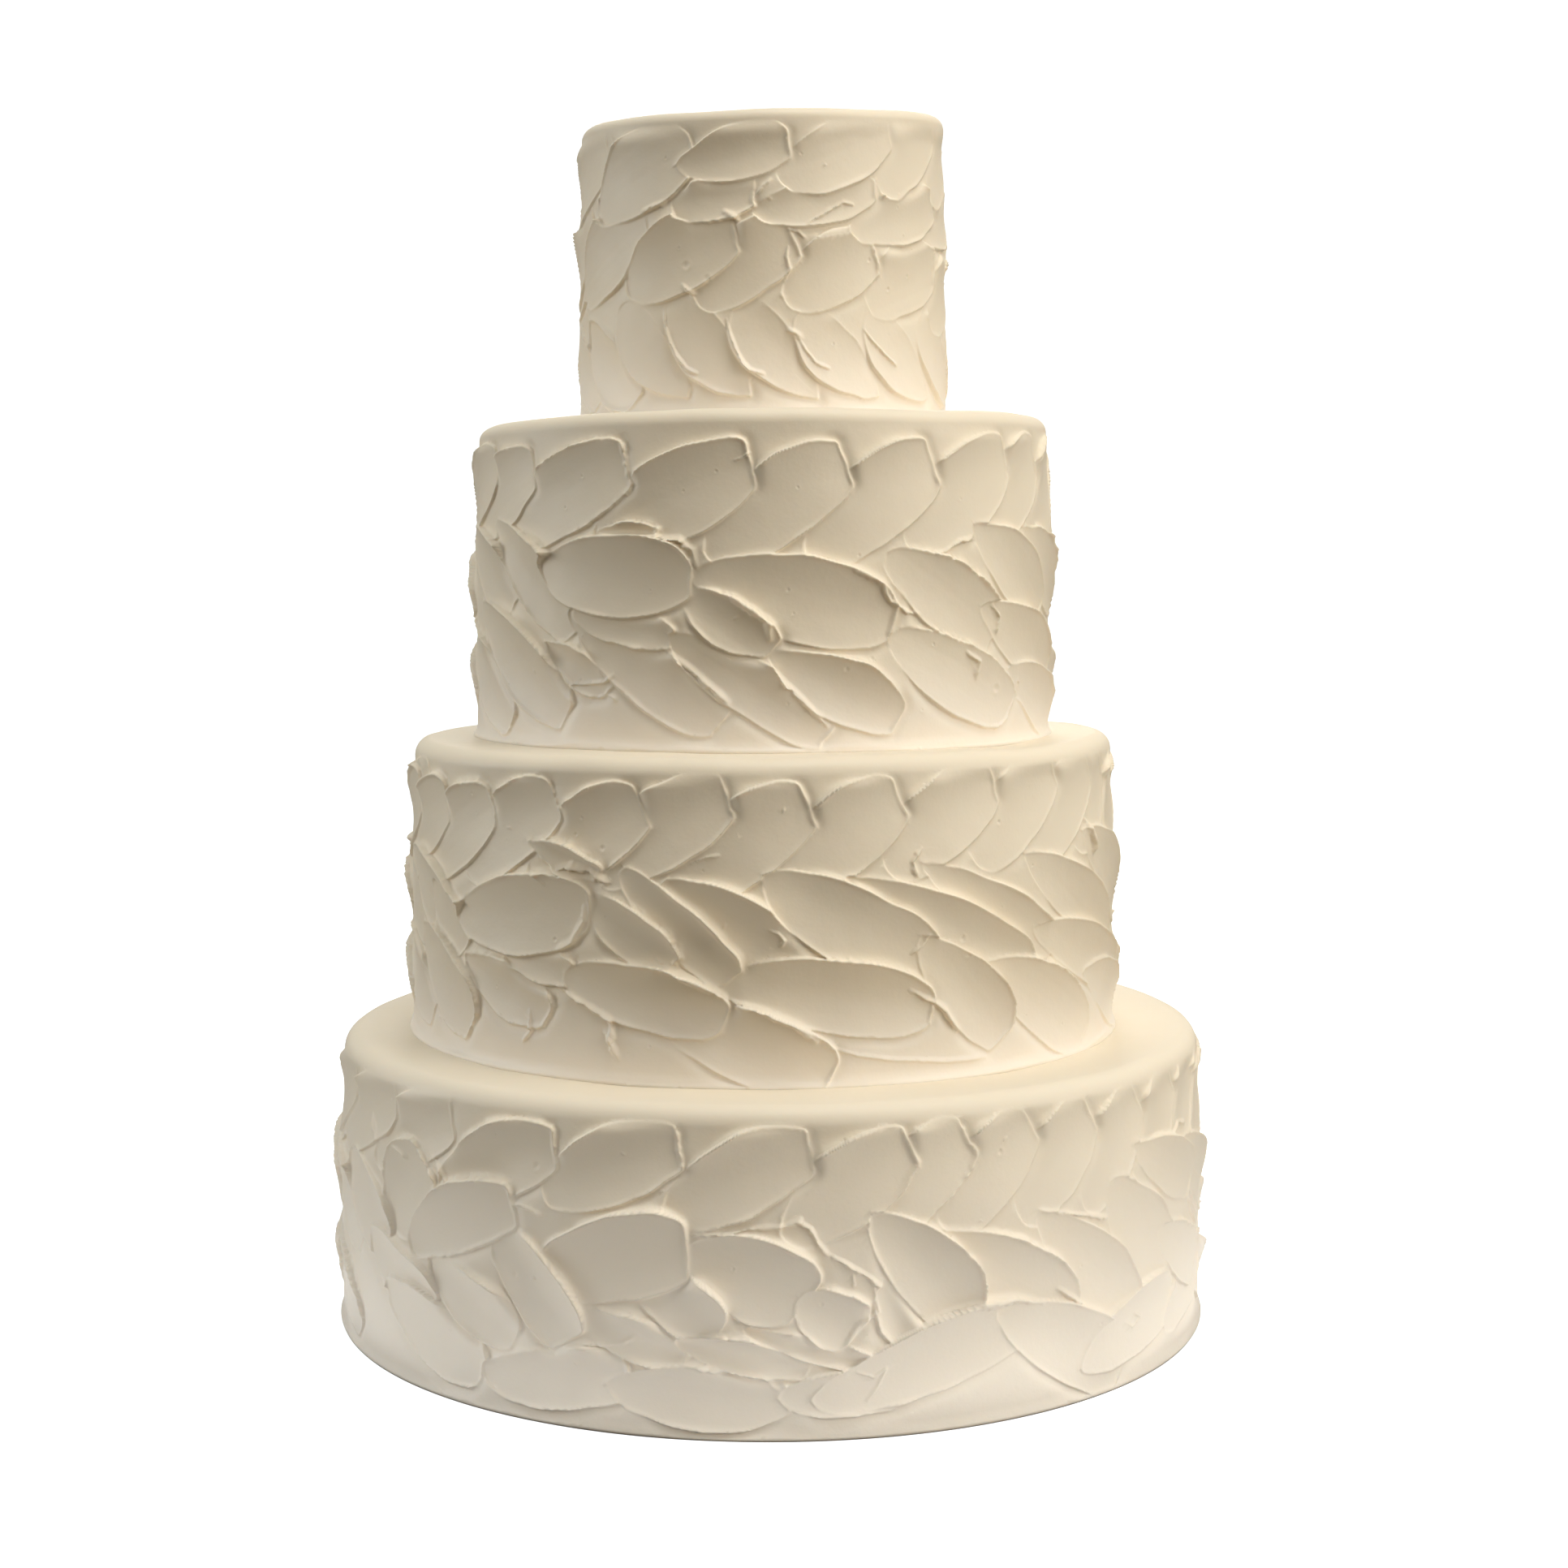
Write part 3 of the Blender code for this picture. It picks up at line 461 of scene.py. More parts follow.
def stroke_outline(kind, length, width, bend, chance):
    """A stroke's outline in its own frame, along and across, with the lip's height, its reach inwards and
    outwards and the share of pressing down at each point."""
    share = 0.5 - 0.5 * np.cos(np.linspace(0.0, math.pi, OUTLINE_POINTS))
    left_half = 0.5 * width * side_shape(share, kind["tail"][0], kind["head"][0])
    right_half = -0.5 * width * side_shape(share, kind["tail"][1], kind["head"][1])
    there_and_back = np.concatenate([share, share[-2:0:-1]])
    across = np.concatenate([left_half, right_half[-2:0:-1]])
    across = across + 4.0 * bend * there_and_back * (1.0 - there_and_back)
    along = (there_and_back - 0.5) * length
    along = np.minimum(along, (kind["cut"] - 0.5) * length + kind["cut_slant"] * across)
    turn = np.linspace(0.0, 2.0 * math.pi, len(across), endpoint=False)
    for wave in OUTLINE_WAVES:
        swing = OUTLINE_WOBBLE * chance.uniform(0.4, 1.0) * 3.0 / (wave + 1.0)
        across = across + swing * np.sin(wave * turn + chance.uniform(0.0, 6.28))
        along = along + swing * np.sin(wave * turn + chance.uniform(0.0, 6.28))
    left_lip, right_lip, head_lip = kind["lips"]
    is_left = np.arange(len(there_and_back)) < OUTLINE_POINTS
    side_lip = np.where(is_left, left_lip, right_lip)
    side_lip = side_lip * (TAIL_LIP_SHARE + (1.0 - TAIL_LIP_SHARE) * smooth_step(there_and_back, 0.05, 0.45))
    near_head = smooth_step(there_and_back, HEAD_FROM, HEAD_FULL)
    lip = side_lip * (1.0 - near_head) + head_lip * near_head
    lip = lip * (1.0 + LIP_SWELL * np.sin(2.0 * turn + chance.uniform(0.0, 6.28)))
    spread = 1.0 + 0.4 * chance.uniform(-0.4, 1.0) * there_and_back**2
    turned = np.where(is_left, 1.0, -1.0) * (1.0 - near_head)
    inner = spread * (LIP_INNER + LIP_INNER_TURN * turned)
    outer = spread * (LIP_OUTER + LIP_OUTER_TURN * turned)
    press = np.where(is_left, near_head, smooth_step(there_and_back, 0.1, 0.4))
    return along, across, lip, inner, outer, press


def outline_distance(along, across, outline):
    """Distance of points to an outline, negative inside, with what holds at the nearest place on it:
    the lip's height and reach, the share of pressing down and the direction outwards, along and across."""
    start_along, start_across, start_lip, inner, outer, start_press = outline
    step_along = np.roll(start_along, -1) - start_along
    step_across = np.roll(start_across, -1) - start_across
    step_lip = np.roll(start_lip, -1) - start_lip
    step_press = np.roll(start_press, -1) - start_press
    from_along = along[:, None] - start_along
    from_across = across[:, None] - start_across
    step_square = np.maximum(step_along**2 + step_across**2, 1e-9)
    share = np.clip((from_along * step_along + from_across * step_across) / step_square, 0.0, 1.0)
    gap = np.hypot(from_along - share * step_along, from_across - share * step_across)
    nearest = gap.argmin(axis=1)
    rows = np.arange(len(along))
    lip = start_lip[nearest] + share[rows, nearest] * step_lip[nearest]
    press = start_press[nearest] + share[rows, nearest] * step_press[nearest]
    end_across = np.roll(start_across, -1)
    straddles = (start_across > across[:, None]) != (end_across > across[:, None])
    slope = step_along / np.where(step_across == 0.0, 1e-9, step_across)
    crossing = straddles & (from_along < slope * from_across)
    inside = crossing.sum(axis=1) % 2 == 1
    distance = gap[rows, nearest]
    distance = np.where(inside, -distance, distance)
    step_length = np.sqrt(step_square)
    out_along = (-step_across / step_length)[nearest]
    out_across = (step_along / step_length)[nearest]
    reach = np.where(inside, inner[nearest], outer[nearest])
    return distance, lip, reach, press, out_along, out_across


class Icing:
    """The icing of one tier's wall: where its points lie, how far each stands proud and leans aside."""

    def __init__(self, tier, azimuth, height):
        self.tier = tier
        self.radius = TIER_RADIUS[tier]
        self.girth = 2.0 * math.pi * self.radius
        self.arc = azimuth * self.radius
        self.height = height
        self.seed = SEED + 100 * int(tier[-1])
        self.relief = np.zeros_like(self.arc)
        self.lean_arc = np.zeros_like(self.arc)
        self.lean_height = np.zeros_like(self.arc)
        self.ragged = soft_noise(self.arc, height, RAGGED_SIZE, self.girth, self.seed + 1)
        self.ragged += 0.6 * soft_noise(self.arc, height, RAGGED_FINE_SIZE, self.girth, self.seed + 2)
        self.patchy = soft_noise(self.arc, height, PATCH_SIZE, self.girth, self.seed + 3)

    def near(self, arc, height, reach):
        """Which points lie within reach, and how far round and up from the given place they are."""
        from_arc = (self.arc - arc + 0.5 * self.girth) % self.girth - 0.5 * self.girth
        from_height = self.height - height
        chosen = np.flatnonzero((np.abs(from_arc) < reach) & (np.abs(from_height) < reach))
        return chosen, from_arc[chosen], from_height[chosen]

    def lay_stroke(self, stroke, number):
        """Spreads one knife stroke over what is there."""
        name, tail_azimuth, tail_height, head_azimuth, head_height, width, bend = stroke
        kind = STROKE_KINDS[name]
        chance = np.random.default_rng(self.seed + 7 * number)
        run = math.radians(head_azimuth - tail_azimuth) * self.radius
        rise = head_height - tail_height
        visible_length = math.hypot(run, rise)
        run, rise = run / visible_length, rise / visible_length
        length = visible_length / kind["cut"]
        middle_arc = math.radians(tail_azimuth) * self.radius + 0.5 * length * run
        middle_height = tail_height + 0.5 * length * rise
        outline = stroke_outline(kind, length, width, bend, chance)
        azimuth = 0.5 * (tail_azimuth + head_azimuth)
        from_deepest = (azimuth - DEEPER_AZIMUTH) / DEEPER_SPREAD
        depth = 1.0 + DEEPER_SHARE[self.tier] * math.exp(-(from_deepest**2))
        depth -= CALMER_SHARE * smooth_step(azimuth, CALMER_FROM, CALMER_FULL)
        reach = 0.5 * length + 0.5 * width + STROKE_REACH
        near, from_arc, from_height = self.near(middle_arc, middle_height, reach)
        along = from_arc * run + from_height * rise
        across = from_height * run - from_arc * rise
        close = (np.abs(along) < 0.5 * length + STROKE_REACH)
        close &= (np.abs(across) < 0.5 * width + abs(bend) + STROKE_REACH)
        near, along, across = near[close], along[close], across[close]
        distance, lip, lip_reach, press, out_along, out_across = outline_distance(along, across, outline)

        side = np.clip(across / (0.5 * width), -1.3, 1.3)
        from_low = side - kind["low"]
        side_share = np.where(from_low < 0.0, RIGHT_SIDE_SHARE, 1.0)
        surface = kind["level"] + kind["hollow"] * from_low**2 * side_share
        surface += END_LIFT * kind["hollow"] * (2.0 * along / length) ** 2
        grain_across, grain_along = across + GRAIN_GIRTH / 2.0, DRAG_STRETCH * along + 300.0
        grain = soft_noise(grain_across, grain_along, DRAG_SPACING, GRAIN_GIRTH, self.seed + 7 * number)
        surface = depth * surface + DRAG_DEPTH * grain * chance.uniform(0.3, 1.0)

        laid = 1.0 - smooth_step(distance, -0.5 * EDGE_SOFTNESS, 0.5 * EDGE_SOFTNESS)
        torn = chance.uniform(*NEAT_TORN) if chance.random() < NEAT_SHARE else chance.uniform(*ROUGH_TORN)
        uneven = 1.0 + LIP_PATCHINESS * self.patchy[near] + torn * self.ragged[near]
        lip = np.maximum(lip * uneven, 0.0)
        ridge = depth * lip * np.exp(-((np.abs(distance) / lip_reach) ** LIP_FALL))
        pressed = press * np.exp(-((np.maximum(distance, 0.0) / PRESS_REACH) ** 2))
        under = self.relief[near]
        under = under + pressed * (np.minimum(under, PRESS_LEVEL) - under)
        self.relief[near] = under * (1.0 - laid) + surface * laid + ridge
        lean = LIP_LEAN * ridge
        keep = 1.0 - laid
        out_arc = out_along * run - out_across * rise
        out_height = out_along * rise + out_across * run
        self.lean_arc[near] = self.lean_arc[near] * keep + lean * out_arc
        self.lean_height[near] = self.lean_height[near] * keep + lean * out_height

    def lay_ridge(self, ridge):
        """Adds a torn lip or a curl along a few points: it swells towards its end, smooth on its left and
        frayed on its right."""
        proud, width, raggedness, points = ridge
        track = np.array([(math.radians(azimuth) * self.radius, height) for azimuth, height in points])
        middle = track.mean(axis=0)
        reach = np.abs(track - middle).max() + 3.0 * width + 2.0
        near, from_arc, from_height = self.near(middle[0], middle[1], reach)
        wander = RIDGE_WANDER * width
        from_arc = from_arc + wander * self.patchy[near]
        from_height = from_height + wander * self.patchy[near]
        start = (track - middle)[:-1]
        step = np.diff(track, axis=0)
        lengths = np.hypot(step[:, 0], step[:, 1])
        offset_arc = from_arc[:, None] - start[:, 0]
        offset_height = from_height[:, None] - start[:, 1]
        share = np.clip((offset_arc * step[:, 0] + offset_height * step[:, 1]) / lengths**2, 0.0, 1.0)
        gap = np.hypot(offset_arc - share * step[:, 0], offset_height - share * step[:, 1])
        nearest = gap.argmin(axis=1)
        rows = np.arange(len(near))
        gap = gap[rows, nearest]
        step_arc, step_height = step[nearest, 0], step[nearest, 1]
        turned_left = step_arc * offset_height[rows, nearest] > step_height * offset_arc[rows, nearest]
        gone = np.concatenate([[0.0], np.cumsum(lengths)])[nearest] + share[rows, nearest] * lengths[nearest]
        gone = gone / lengths.sum()
        fray = np.clip(raggedness * self.ragged[near], -1.0, 1.0)
        fray = fray * width * np.where(turned_left, RIDGE_FRAY_LEFT, RIDGE_FRAY_RIGHT)
        frayed_gap = np.maximum(gap - fray, 0.0)
        taper = smooth_step(gone, -0.2, 0.35) * (1.0 - smooth_step(gone, 0.85, 1.15))
        crest = proud * taper * (1.0 + RIDGE_LUMPS * raggedness * self.patchy[near])
        spread = RIDGE_SPREAD * width * (0.7 + 0.5 * gone)
        swell = crest * np.exp(-((frayed_gap / spread) ** 2))
        self.relief[near] += swell
        self.lean_height[near] -= RIDGE_LEAN * swell

    def sink_pit(self, azimuth, height, size):
        """Presses in a small burst bubble with a raised rim, more open on one side."""
        arc = math.radians(azimuth) * self.radius
        near, from_arc, from_height = self.near(arc, height, 2.0 * size + 1.0)
        distance = np.hypot(from_arc, from_height) / (0.5 * size)
        open_side = 1.0 + 0.5 * (from_arc - from_height) / (np.hypot(from_arc, from_height) + 0.5)
        self.relief[near] -= PIT_DEPTH * np.exp(-distance**2 * 1.4)
        self.relief[near] += PIT_RIM * open_side * np.exp(-((distance - 1.3) / 0.5) ** 2)


def back_strokes(tier, radius):
    """The strokes that the front view doesn't show, spaced evenly with some unevenness in each."""
    chance = np.random.default_rng(SEED + int(tier[-1]))
    rows = TOP_TIER_BACK_ROWS if tier == "tier_4" else BACK_ROWS
    strokes = []
    for name, tail_height, head_height, run, spacing, width, bend in rows:
        turn = math.degrees(run / radius)
        count = round(math.radians(BACK_AZIMUTHS[1] - BACK_AZIMUTHS[0]) * radius / spacing)
        for azimuth in np.linspace(BACK_AZIMUTHS[1], BACK_AZIMUTHS[0], count):
            jitter = chance.uniform(-1.0, 1.0, 4)
            shift = math.degrees(BACK_JITTER_RUN * jitter[0] / radius)
            strokes.append((
                name,
                azimuth - 0.5 * turn + shift,
                tail_height + BACK_JITTER_HEIGHT * jitter[1],
                azimuth + 0.5 * turn + shift,
                head_height + BACK_JITTER_HEIGHT * jitter[2],
                width + BACK_JITTER_WIDTH * jitter[3],
                bend,
            ))
    return strokes


def unevenness(layers, arc, up, girth, seed):
    """Sum of several layers of smooth noise."""
    total = 0.0
    for number, (size, depth) in enumerate(layers):
        total = total + depth * soft_noise(arc, up, size, girth, seed + number)
    return total


def iced_wall(tier, azimuth, height):
    """The icing of a tier's wall with every stroke, lip, pit and crumb laid on it."""
    icing = Icing(tier, azimuth, height)
    radius = icing.radius
    strokes = back_strokes(tier, radius) + list(FRONT_STROKES[tier])
    for number, stroke in enumerate(strokes):
        icing.lay_stroke(stroke, number)
    for ridge in RIDGES[tier]:
        icing.lay_ridge(ridge)
    for azimuth_at, height_at, size in PITS[tier]:
        icing.sink_pit(azimuth_at, height_at, size)
    chance = np.random.default_rng(icing.seed + 9)
    for _ in range(STREWN_PER_TIER):
        azimuth_at = chance.uniform(-180, 180)
        height_at = chance.uniform(*STREWN_HEIGHTS)
        size = chance.uniform(*STREWN_SIZES)
        if chance.random() < 0.5:
            icing.sink_pit(azimuth_at, height_at, size)
        else:
            turn = chance.uniform(0.0, math.pi)
            end_azimuth = azimuth_at + math.degrees(2.0 * size * math.cos(turn) / radius)
            end_height = height_at + 1.5 * size * math.sin(turn)
            points = ((azimuth_at, height_at), (end_azimuth, end_height))
            icing.lay_ridge((0.5 * size, 0.6 * size, 0.8, points))
    icing.relief += unevenness(WALL_UNEVENNESS, icing.arc, height, icing.girth, icing.seed + 20)
    # The relief fades out below the rim and just above the foot.
    top = TIER_HEIGHT[tier]
    fade = 1.0 - smooth_step(height, top - RIM_FADE_HEIGHT, top - RIM_FADE_TOP)
    fade = fade * smooth_step(height, 0.0, FOOT_FADE_HEIGHT)
    icing.relief *= fade
    icing.lean_arc *= fade
    icing.lean_height *= fade
    if tier != "tier_1":
        level = np.zeros_like(height)
        wander = soft_noise(icing.arc, level, 40.0, icing.girth, icing.seed + 30)
        bead_level = BEAD_LEVEL + BEAD_WANDER * wander
        bead_swell = 0.6 + 0.5 * soft_noise(icing.arc, level, 14.0, icing.girth, icing.seed + 31)
        icing.relief += BEAD_HEIGHT * bead_swell * np.exp(-(((height - bead_level) / BEAD_WIDTH) ** 2))
    return icing


def tier_section(tier, next_radius, step):
    """Half of a tier's section, from near the middle of its top to its foot: distance from the axis, height,
    and the direction square to the surface."""
    radius = TIER_RADIUS[tier] - BASE_COAT_DEPTH
    height = TIER_HEIGHT[tier]
    rim = RIM_RADIUS[tier]
    rim_centre = radius - SHOULDER_DRAW[tier] - rim
    start = next_radius - HIDDEN_LEDGE if next_radius else 0.4 * rim_centre
    ledge_steps = max(2, round((rim_centre - start) / LEDGE_STEP))
    rows = [(start, height, 0.0, 1.0)]
    for k in range(1, ledge_steps + 1):
        rows.append((start + (rim_centre - start) * k / ledge_steps, height, 0.0, 1.0))
    rim_steps = max(5, round(0.5 * math.pi * rim / step))
    for k in range(1, rim_steps + 1):
        turn = 0.5 * math.pi * k / rim_steps
        out, up = math.sin(turn), math.cos(turn)
        rows.append((rim_centre + rim * out, height - rim * (1.0 - up), out, up))
    wall_height = height - rim - BOTTOM_EDGE
    wall_steps = round(wall_height / step)
    for k in range(1, wall_steps + 1):
        level = height - rim - wall_height * k / wall_steps
        flare = FOOT_FLARE * (1.0 - min(level / FOOT_HEIGHT, 1.0)) ** 2
        draw = SHOULDER_DRAW[tier] * float(smooth_step(level, height - SHOULDER_HEIGHT, height - rim))
        rows.append((radius + flare - draw, level, 1.0, 0.0))
    foot = 0.0 if tier == "tier_1" else -SINK
    rows.append((radius + FOOT_FLARE + (0.0 if foot else -BOTTOM_EDGE), foot, 1.0, 0.0))
    return np.array(rows)


def tier_azimuths(radius, quick):
    """Azimuths of the columns of the grid, close together in front and wider apart behind."""
    front, back = (QUICK_STEP, 2.0 * QUICK_STEP) if quick else (FRONT_STEP, BACK_STEP)
    half = math.radians(FRONT_HALF_ANGLE)
    front_count = round(2.0 * half * radius / front)
    back_count = round(2.0 * (math.pi - half) * radius / back)
    ahead = np.linspace(-half, half, front_count, endpoint=False)
    behind = np.linspace(half, 2.0 * math.pi - half, back_count, endpoint=False)
    return np.concatenate([ahead, behind])


def evaluated_mesh(obj, name):
    """The object's mesh with its modifiers applied."""
    bpy.context.view_layer.update()
    graph = bpy.context.evaluated_depsgraph_get()
    mesh = bpy.data.meshes.new_from_object(obj.evaluated_get(graph))
    mesh.name = name
    return mesh


def thinned_mesh(mesh, name, triangles):
    """The same shape with about the given number of triangles, which stay close together on the ridges."""
    fine = bpy.data.objects.new(name + "_fine", mesh)
    bpy.context.scene.collection.objects.link(fine)
    mesh.calc_loop_triangles()
    decimate = fine.modifiers.new("Simplify", "DECIMATE")
    decimate.ratio = min(1.0, triangles / len(mesh.loop_triangles))
    decimate.use_collapse_triangulate = True
    thin = evaluated_mesh(fine, name)
    bpy.data.objects.remove(fine)
    bpy.data.meshes.remove(mesh)
    return thin


def tier_mesh(tier, next_radius, quick):
    """One tier as a closed mesh, standing on z = 0 round its own axis."""
    section = tier_section(tier, next_radius, QUICK_STEP if quick else FRONT_STEP)
    azimuths = tier_azimuths(TIER_RADIUS[tier], quick)
    row_count, column_count = len(section), len(azimuths)
    azimuth = np.tile(azimuths, row_count)
    out, height, across_wall, up_wall = (np.repeat(section[:, k], column_count) for k in range(4))
    girth = 2.0 * math.pi * TIER_RADIUS[tier]
    arc = azimuth * TIER_RADIUS[tier]

    icing = iced_wall(tier, azimuth, height)
    on_wall = across_wall > 0.0
    relief = np.where(on_wall, icing.relief, 0.0)
    spread = out + relief * across_wall
    level = height + relief * up_wall + np.where(on_wall, icing.lean_height * across_wall, 0.0)
    turned = azimuth + np.where(on_wall, icing.lean_arc, 0.0) / TIER_RADIUS[tier]
    # The whole upper part waves slowly, and the ledge with it.
    ledge = unevenness(LEDGE_UNEVENNESS, arc, out, girth, icing.seed + 40)
    level = level + ledge * smooth_step(height, TIER_HEIGHT[tier] - LEDGE_WAVE_BAND, TIER_HEIGHT[tier])
    rising = smooth_step(height, RIM_RISE_FROM * TIER_HEIGHT[tier], TIER_HEIGHT[tier])
    rising *= smooth_step(out, next_radius, TIER_RADIUS[tier] - SHOULDER_DRAW[tier] - RIM_RADIUS[tier])
    level = level + rising * (RIM_SLOPE[tier] * np.sin(azimuth) + RIM_LIFT[tier] * np.sin(azimuth) ** 2)

    points = np.stack([spread * np.sin(turned), -spread * np.cos(turned), level], axis=1)
    middle_top = points[:column_count].mean(axis=0)
    middle_bottom = np.array([0.0, 0.0, section[-1, 1]])
    points = np.concatenate([points, [middle_top, middle_bottom]]) * MM

    start = (np.arange(row_count - 1) * column_count)[:, None]
    here = np.arange(column_count)[None, :]
    following = (here + 1) % column_count
    below = start + column_count
    quads = np.stack([start + here, below + here, below + following, start + following], -1)
    quads = quads.reshape(-1, 4)
    ring = np.arange(column_count)
    next_ring = (ring + 1) % column_count
    top_fan = np.stack([np.full(column_count, len(points) - 2), ring, next_ring], axis=1)
    last = (row_count - 1) * column_count
    bottom_fan = np.stack([np.full(column_count, len(points) - 1), last + next_ring, last + ring], axis=1)

    mesh = bpy.data.meshes.new(tier + "_icing")
    mesh.vertices.add(len(points))
    mesh.vertices.foreach_set("co", points.ravel())
    corners = np.concatenate([quads.ravel(), top_fan.ravel(), bottom_fan.ravel()])
    sizes = np.concatenate([np.full(len(quads), 4), np.full(2 * column_count, 3)])
    mesh.loops.add(len(corners))
    mesh.loops.foreach_set("vertex_index", corners)
    mesh.polygons.add(len(sizes))
    mesh.polygons.foreach_set("loop_start", np.concatenate([[0], np.cumsum(sizes)[:-1]]))
    mesh.polygons.foreach_set("loop_total", sizes)
    mesh.update(calc_edges=True)
    mesh.validate()
    if not quick:
        mesh = thinned_mesh(mesh, tier + "_icing", TRIANGLES[tier])
    mesh.shade_smooth()
    return mesh


# Buttercream: an ivory body that lets light in a little, satin, with faint mottling and fine unevenness.
ICING_COLOUR = (0.86, 0.747, 0.568, 1.0)
ICING_COLOUR_PALE = (0.88, 0.777, 0.608, 1.0)
# Paler colour painted at the foot of each tier and over most of the widest tier: painted bounce light from
# the ledges and the floor below.
BOUNCE_LIGHT_COLOUR = (0.87, 0.79, 0.675, 1.0)
# How high the painted bounce light reaches on the slim tiers and on the widest one, and between which radii
# that changes.
BOUNCE_LIGHT_HEIGHTS = (0.05, 0.165)
BOUNCE_LIGHT_RADII = (0.170, 0.185)
ICING_ROUGHNESS = (0.42, 0.6)
ICING_SCATTER = 0.25
ICING_SCATTER_RADIUS = (1.0, 0.75, 0.5)
ICING_SCATTER_SCALE = 0.0014
ICING_SPECULAR = 0.35
# Noise of the mottling and of the gloss, as scale and detail, and of the bumps, with strength and depth too.
MOTTLING = (14.0, 3.0)
GLOSS_PATCHES = (60.0, 4.0)
COARSE_BUMP = (130.0, 3.0, 0.14, 0.0012)
FINE_BUMP = (700.0, 2.0, 0.12, 0.0003)


def buttercream():
    """The node material that all the tiers share."""
    material = bpy.data.materials.new("buttercream_ivory")
    material.use_nodes = True
    nodes, links = material.node_tree.nodes, material.node_tree.links
    shader = nodes["Principled BSDF"]
    place = nodes.new("ShaderNodeTexCoord")

    def noise(scale, detail):
        node = nodes.new("ShaderNodeTexNoise")
        node.inputs["Scale"].default_value = scale
        node.inputs["Detail"].default_value = detail
        node.inputs["Roughness"].default_value = 0.55
        links.new(place.outputs["Object"], node.inputs["Vector"])
        return node

    def bump(scale, detail, strength, depth):
        node = nodes.new("ShaderNodeBump")
        node.inputs["Strength"].default_value = strength
        node.inputs["Distance"].default_value = depth
        links.new(noise(scale, detail).outputs["Fac"], node.inputs["Height"])
        return node

    mottling = noise(*MOTTLING)
    tint = nodes.new("ShaderNodeMix")
    tint.data_type = "RGBA"
    tint.inputs[6].default_value = ICING_COLOUR
    tint.inputs[7].default_value = ICING_COLOUR_PALE
    links.new(mottling.outputs["Fac"], tint.inputs["Factor"])

    # Painted bounce light: each tier's foot, and most of the widest tier, is painted paler where light from
    # the ledge and floor below falls.
    split = nodes.new("ShaderNodeSeparateXYZ")
    links.new(place.outputs["Object"], split.inputs["Vector"])
    flat = nodes.new("ShaderNodeVectorMath")
    flat.operation = "MULTIPLY"
    flat.inputs[1].default_value = (1.0, 1.0, 0.0)
    links.new(place.outputs["Object"], flat.inputs[0])
    radius = nodes.new("ShaderNodeVectorMath")
    radius.operation = "LENGTH"
    links.new(flat.outputs["Vector"], radius.inputs[0])
    bounce_light_height = nodes.new("ShaderNodeMapRange")
    bounce_light_height.inputs["From Min"].default_value = BOUNCE_LIGHT_RADII[0]
    bounce_light_height.inputs["From Max"].default_value = BOUNCE_LIGHT_RADII[1]
    bounce_light_height.inputs["To Min"].default_value = BOUNCE_LIGHT_HEIGHTS[0]
    bounce_light_height.inputs["To Max"].default_value = BOUNCE_LIGHT_HEIGHTS[1]
    links.new(radius.outputs["Value"], bounce_light_height.inputs["Value"])
    foot = nodes.new("ShaderNodeMapRange")
    foot.interpolation_type = "SMOOTHSTEP"
    links.new(bounce_light_height.outputs["Result"], foot.inputs["From Max"])
    foot.inputs["To Min"].default_value = 1.0
    foot.inputs["To Max"].default_value = 0.0
    links.new(split.outputs["Z"], foot.inputs["Value"])
    bounce_light_mix = nodes.new("ShaderNodeMix")
    bounce_light_mix.data_type = "RGBA"
    bounce_light_mix.inputs[7].default_value = BOUNCE_LIGHT_COLOUR
    links.new(foot.outputs["Result"], bounce_light_mix.inputs["Factor"])
    links.new(tint.outputs[2], bounce_light_mix.inputs[6])
    links.new(bounce_light_mix.outputs[2], shader.inputs["Base Color"])

    gloss = nodes.new("ShaderNodeMapRange")
    gloss.inputs["To Min"].default_value = ICING_ROUGHNESS[0]
    gloss.inputs["To Max"].default_value = ICING_ROUGHNESS[1]
    links.new(noise(*GLOSS_PATCHES).outputs["Fac"], gloss.inputs["Value"])
    links.new(gloss.outputs["Result"], shader.inputs["Roughness"])

    coarse = bump(*COARSE_BUMP)
    fine = bump(*FINE_BUMP)
    links.new(coarse.outputs["Normal"], fine.inputs["Normal"])
    links.new(fine.outputs["Normal"], shader.inputs["Normal"])

    shader.inputs["Specular IOR Level"].default_value = ICING_SPECULAR
    shader.inputs["Subsurface Weight"].default_value = ICING_SCATTER
    shader.inputs["Subsurface Radius"].default_value = ICING_SCATTER_RADIUS
    shader.inputs["Subsurface Scale"].default_value = ICING_SCATTER_SCALE
    return material


def build_cake():
    """All four tiers, each standing for its CAD node."""
    material = buttercream()
    names = list(TIER_RADIUS)
    level = 0.0
    for number, tier in enumerate(names):
        next_radius = TIER_RADIUS[names[number + 1]] if number + 1 < len(names) else 0.0
        mesh = tier_mesh(tier, next_radius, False)
        mesh.materials.append(material)
        cake = bpy.data.objects.new(tier + "_icing", mesh)
        cake.location = (TIER_SHIFT[tier] * MM, 0.0, level * MM)
        bpy.context.scene.collection.objects.link(cake)
        bpy.context.view_layer.update()
        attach(cake, "root")
        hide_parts(tier)
        level += TIER_HEIGHT[tier]


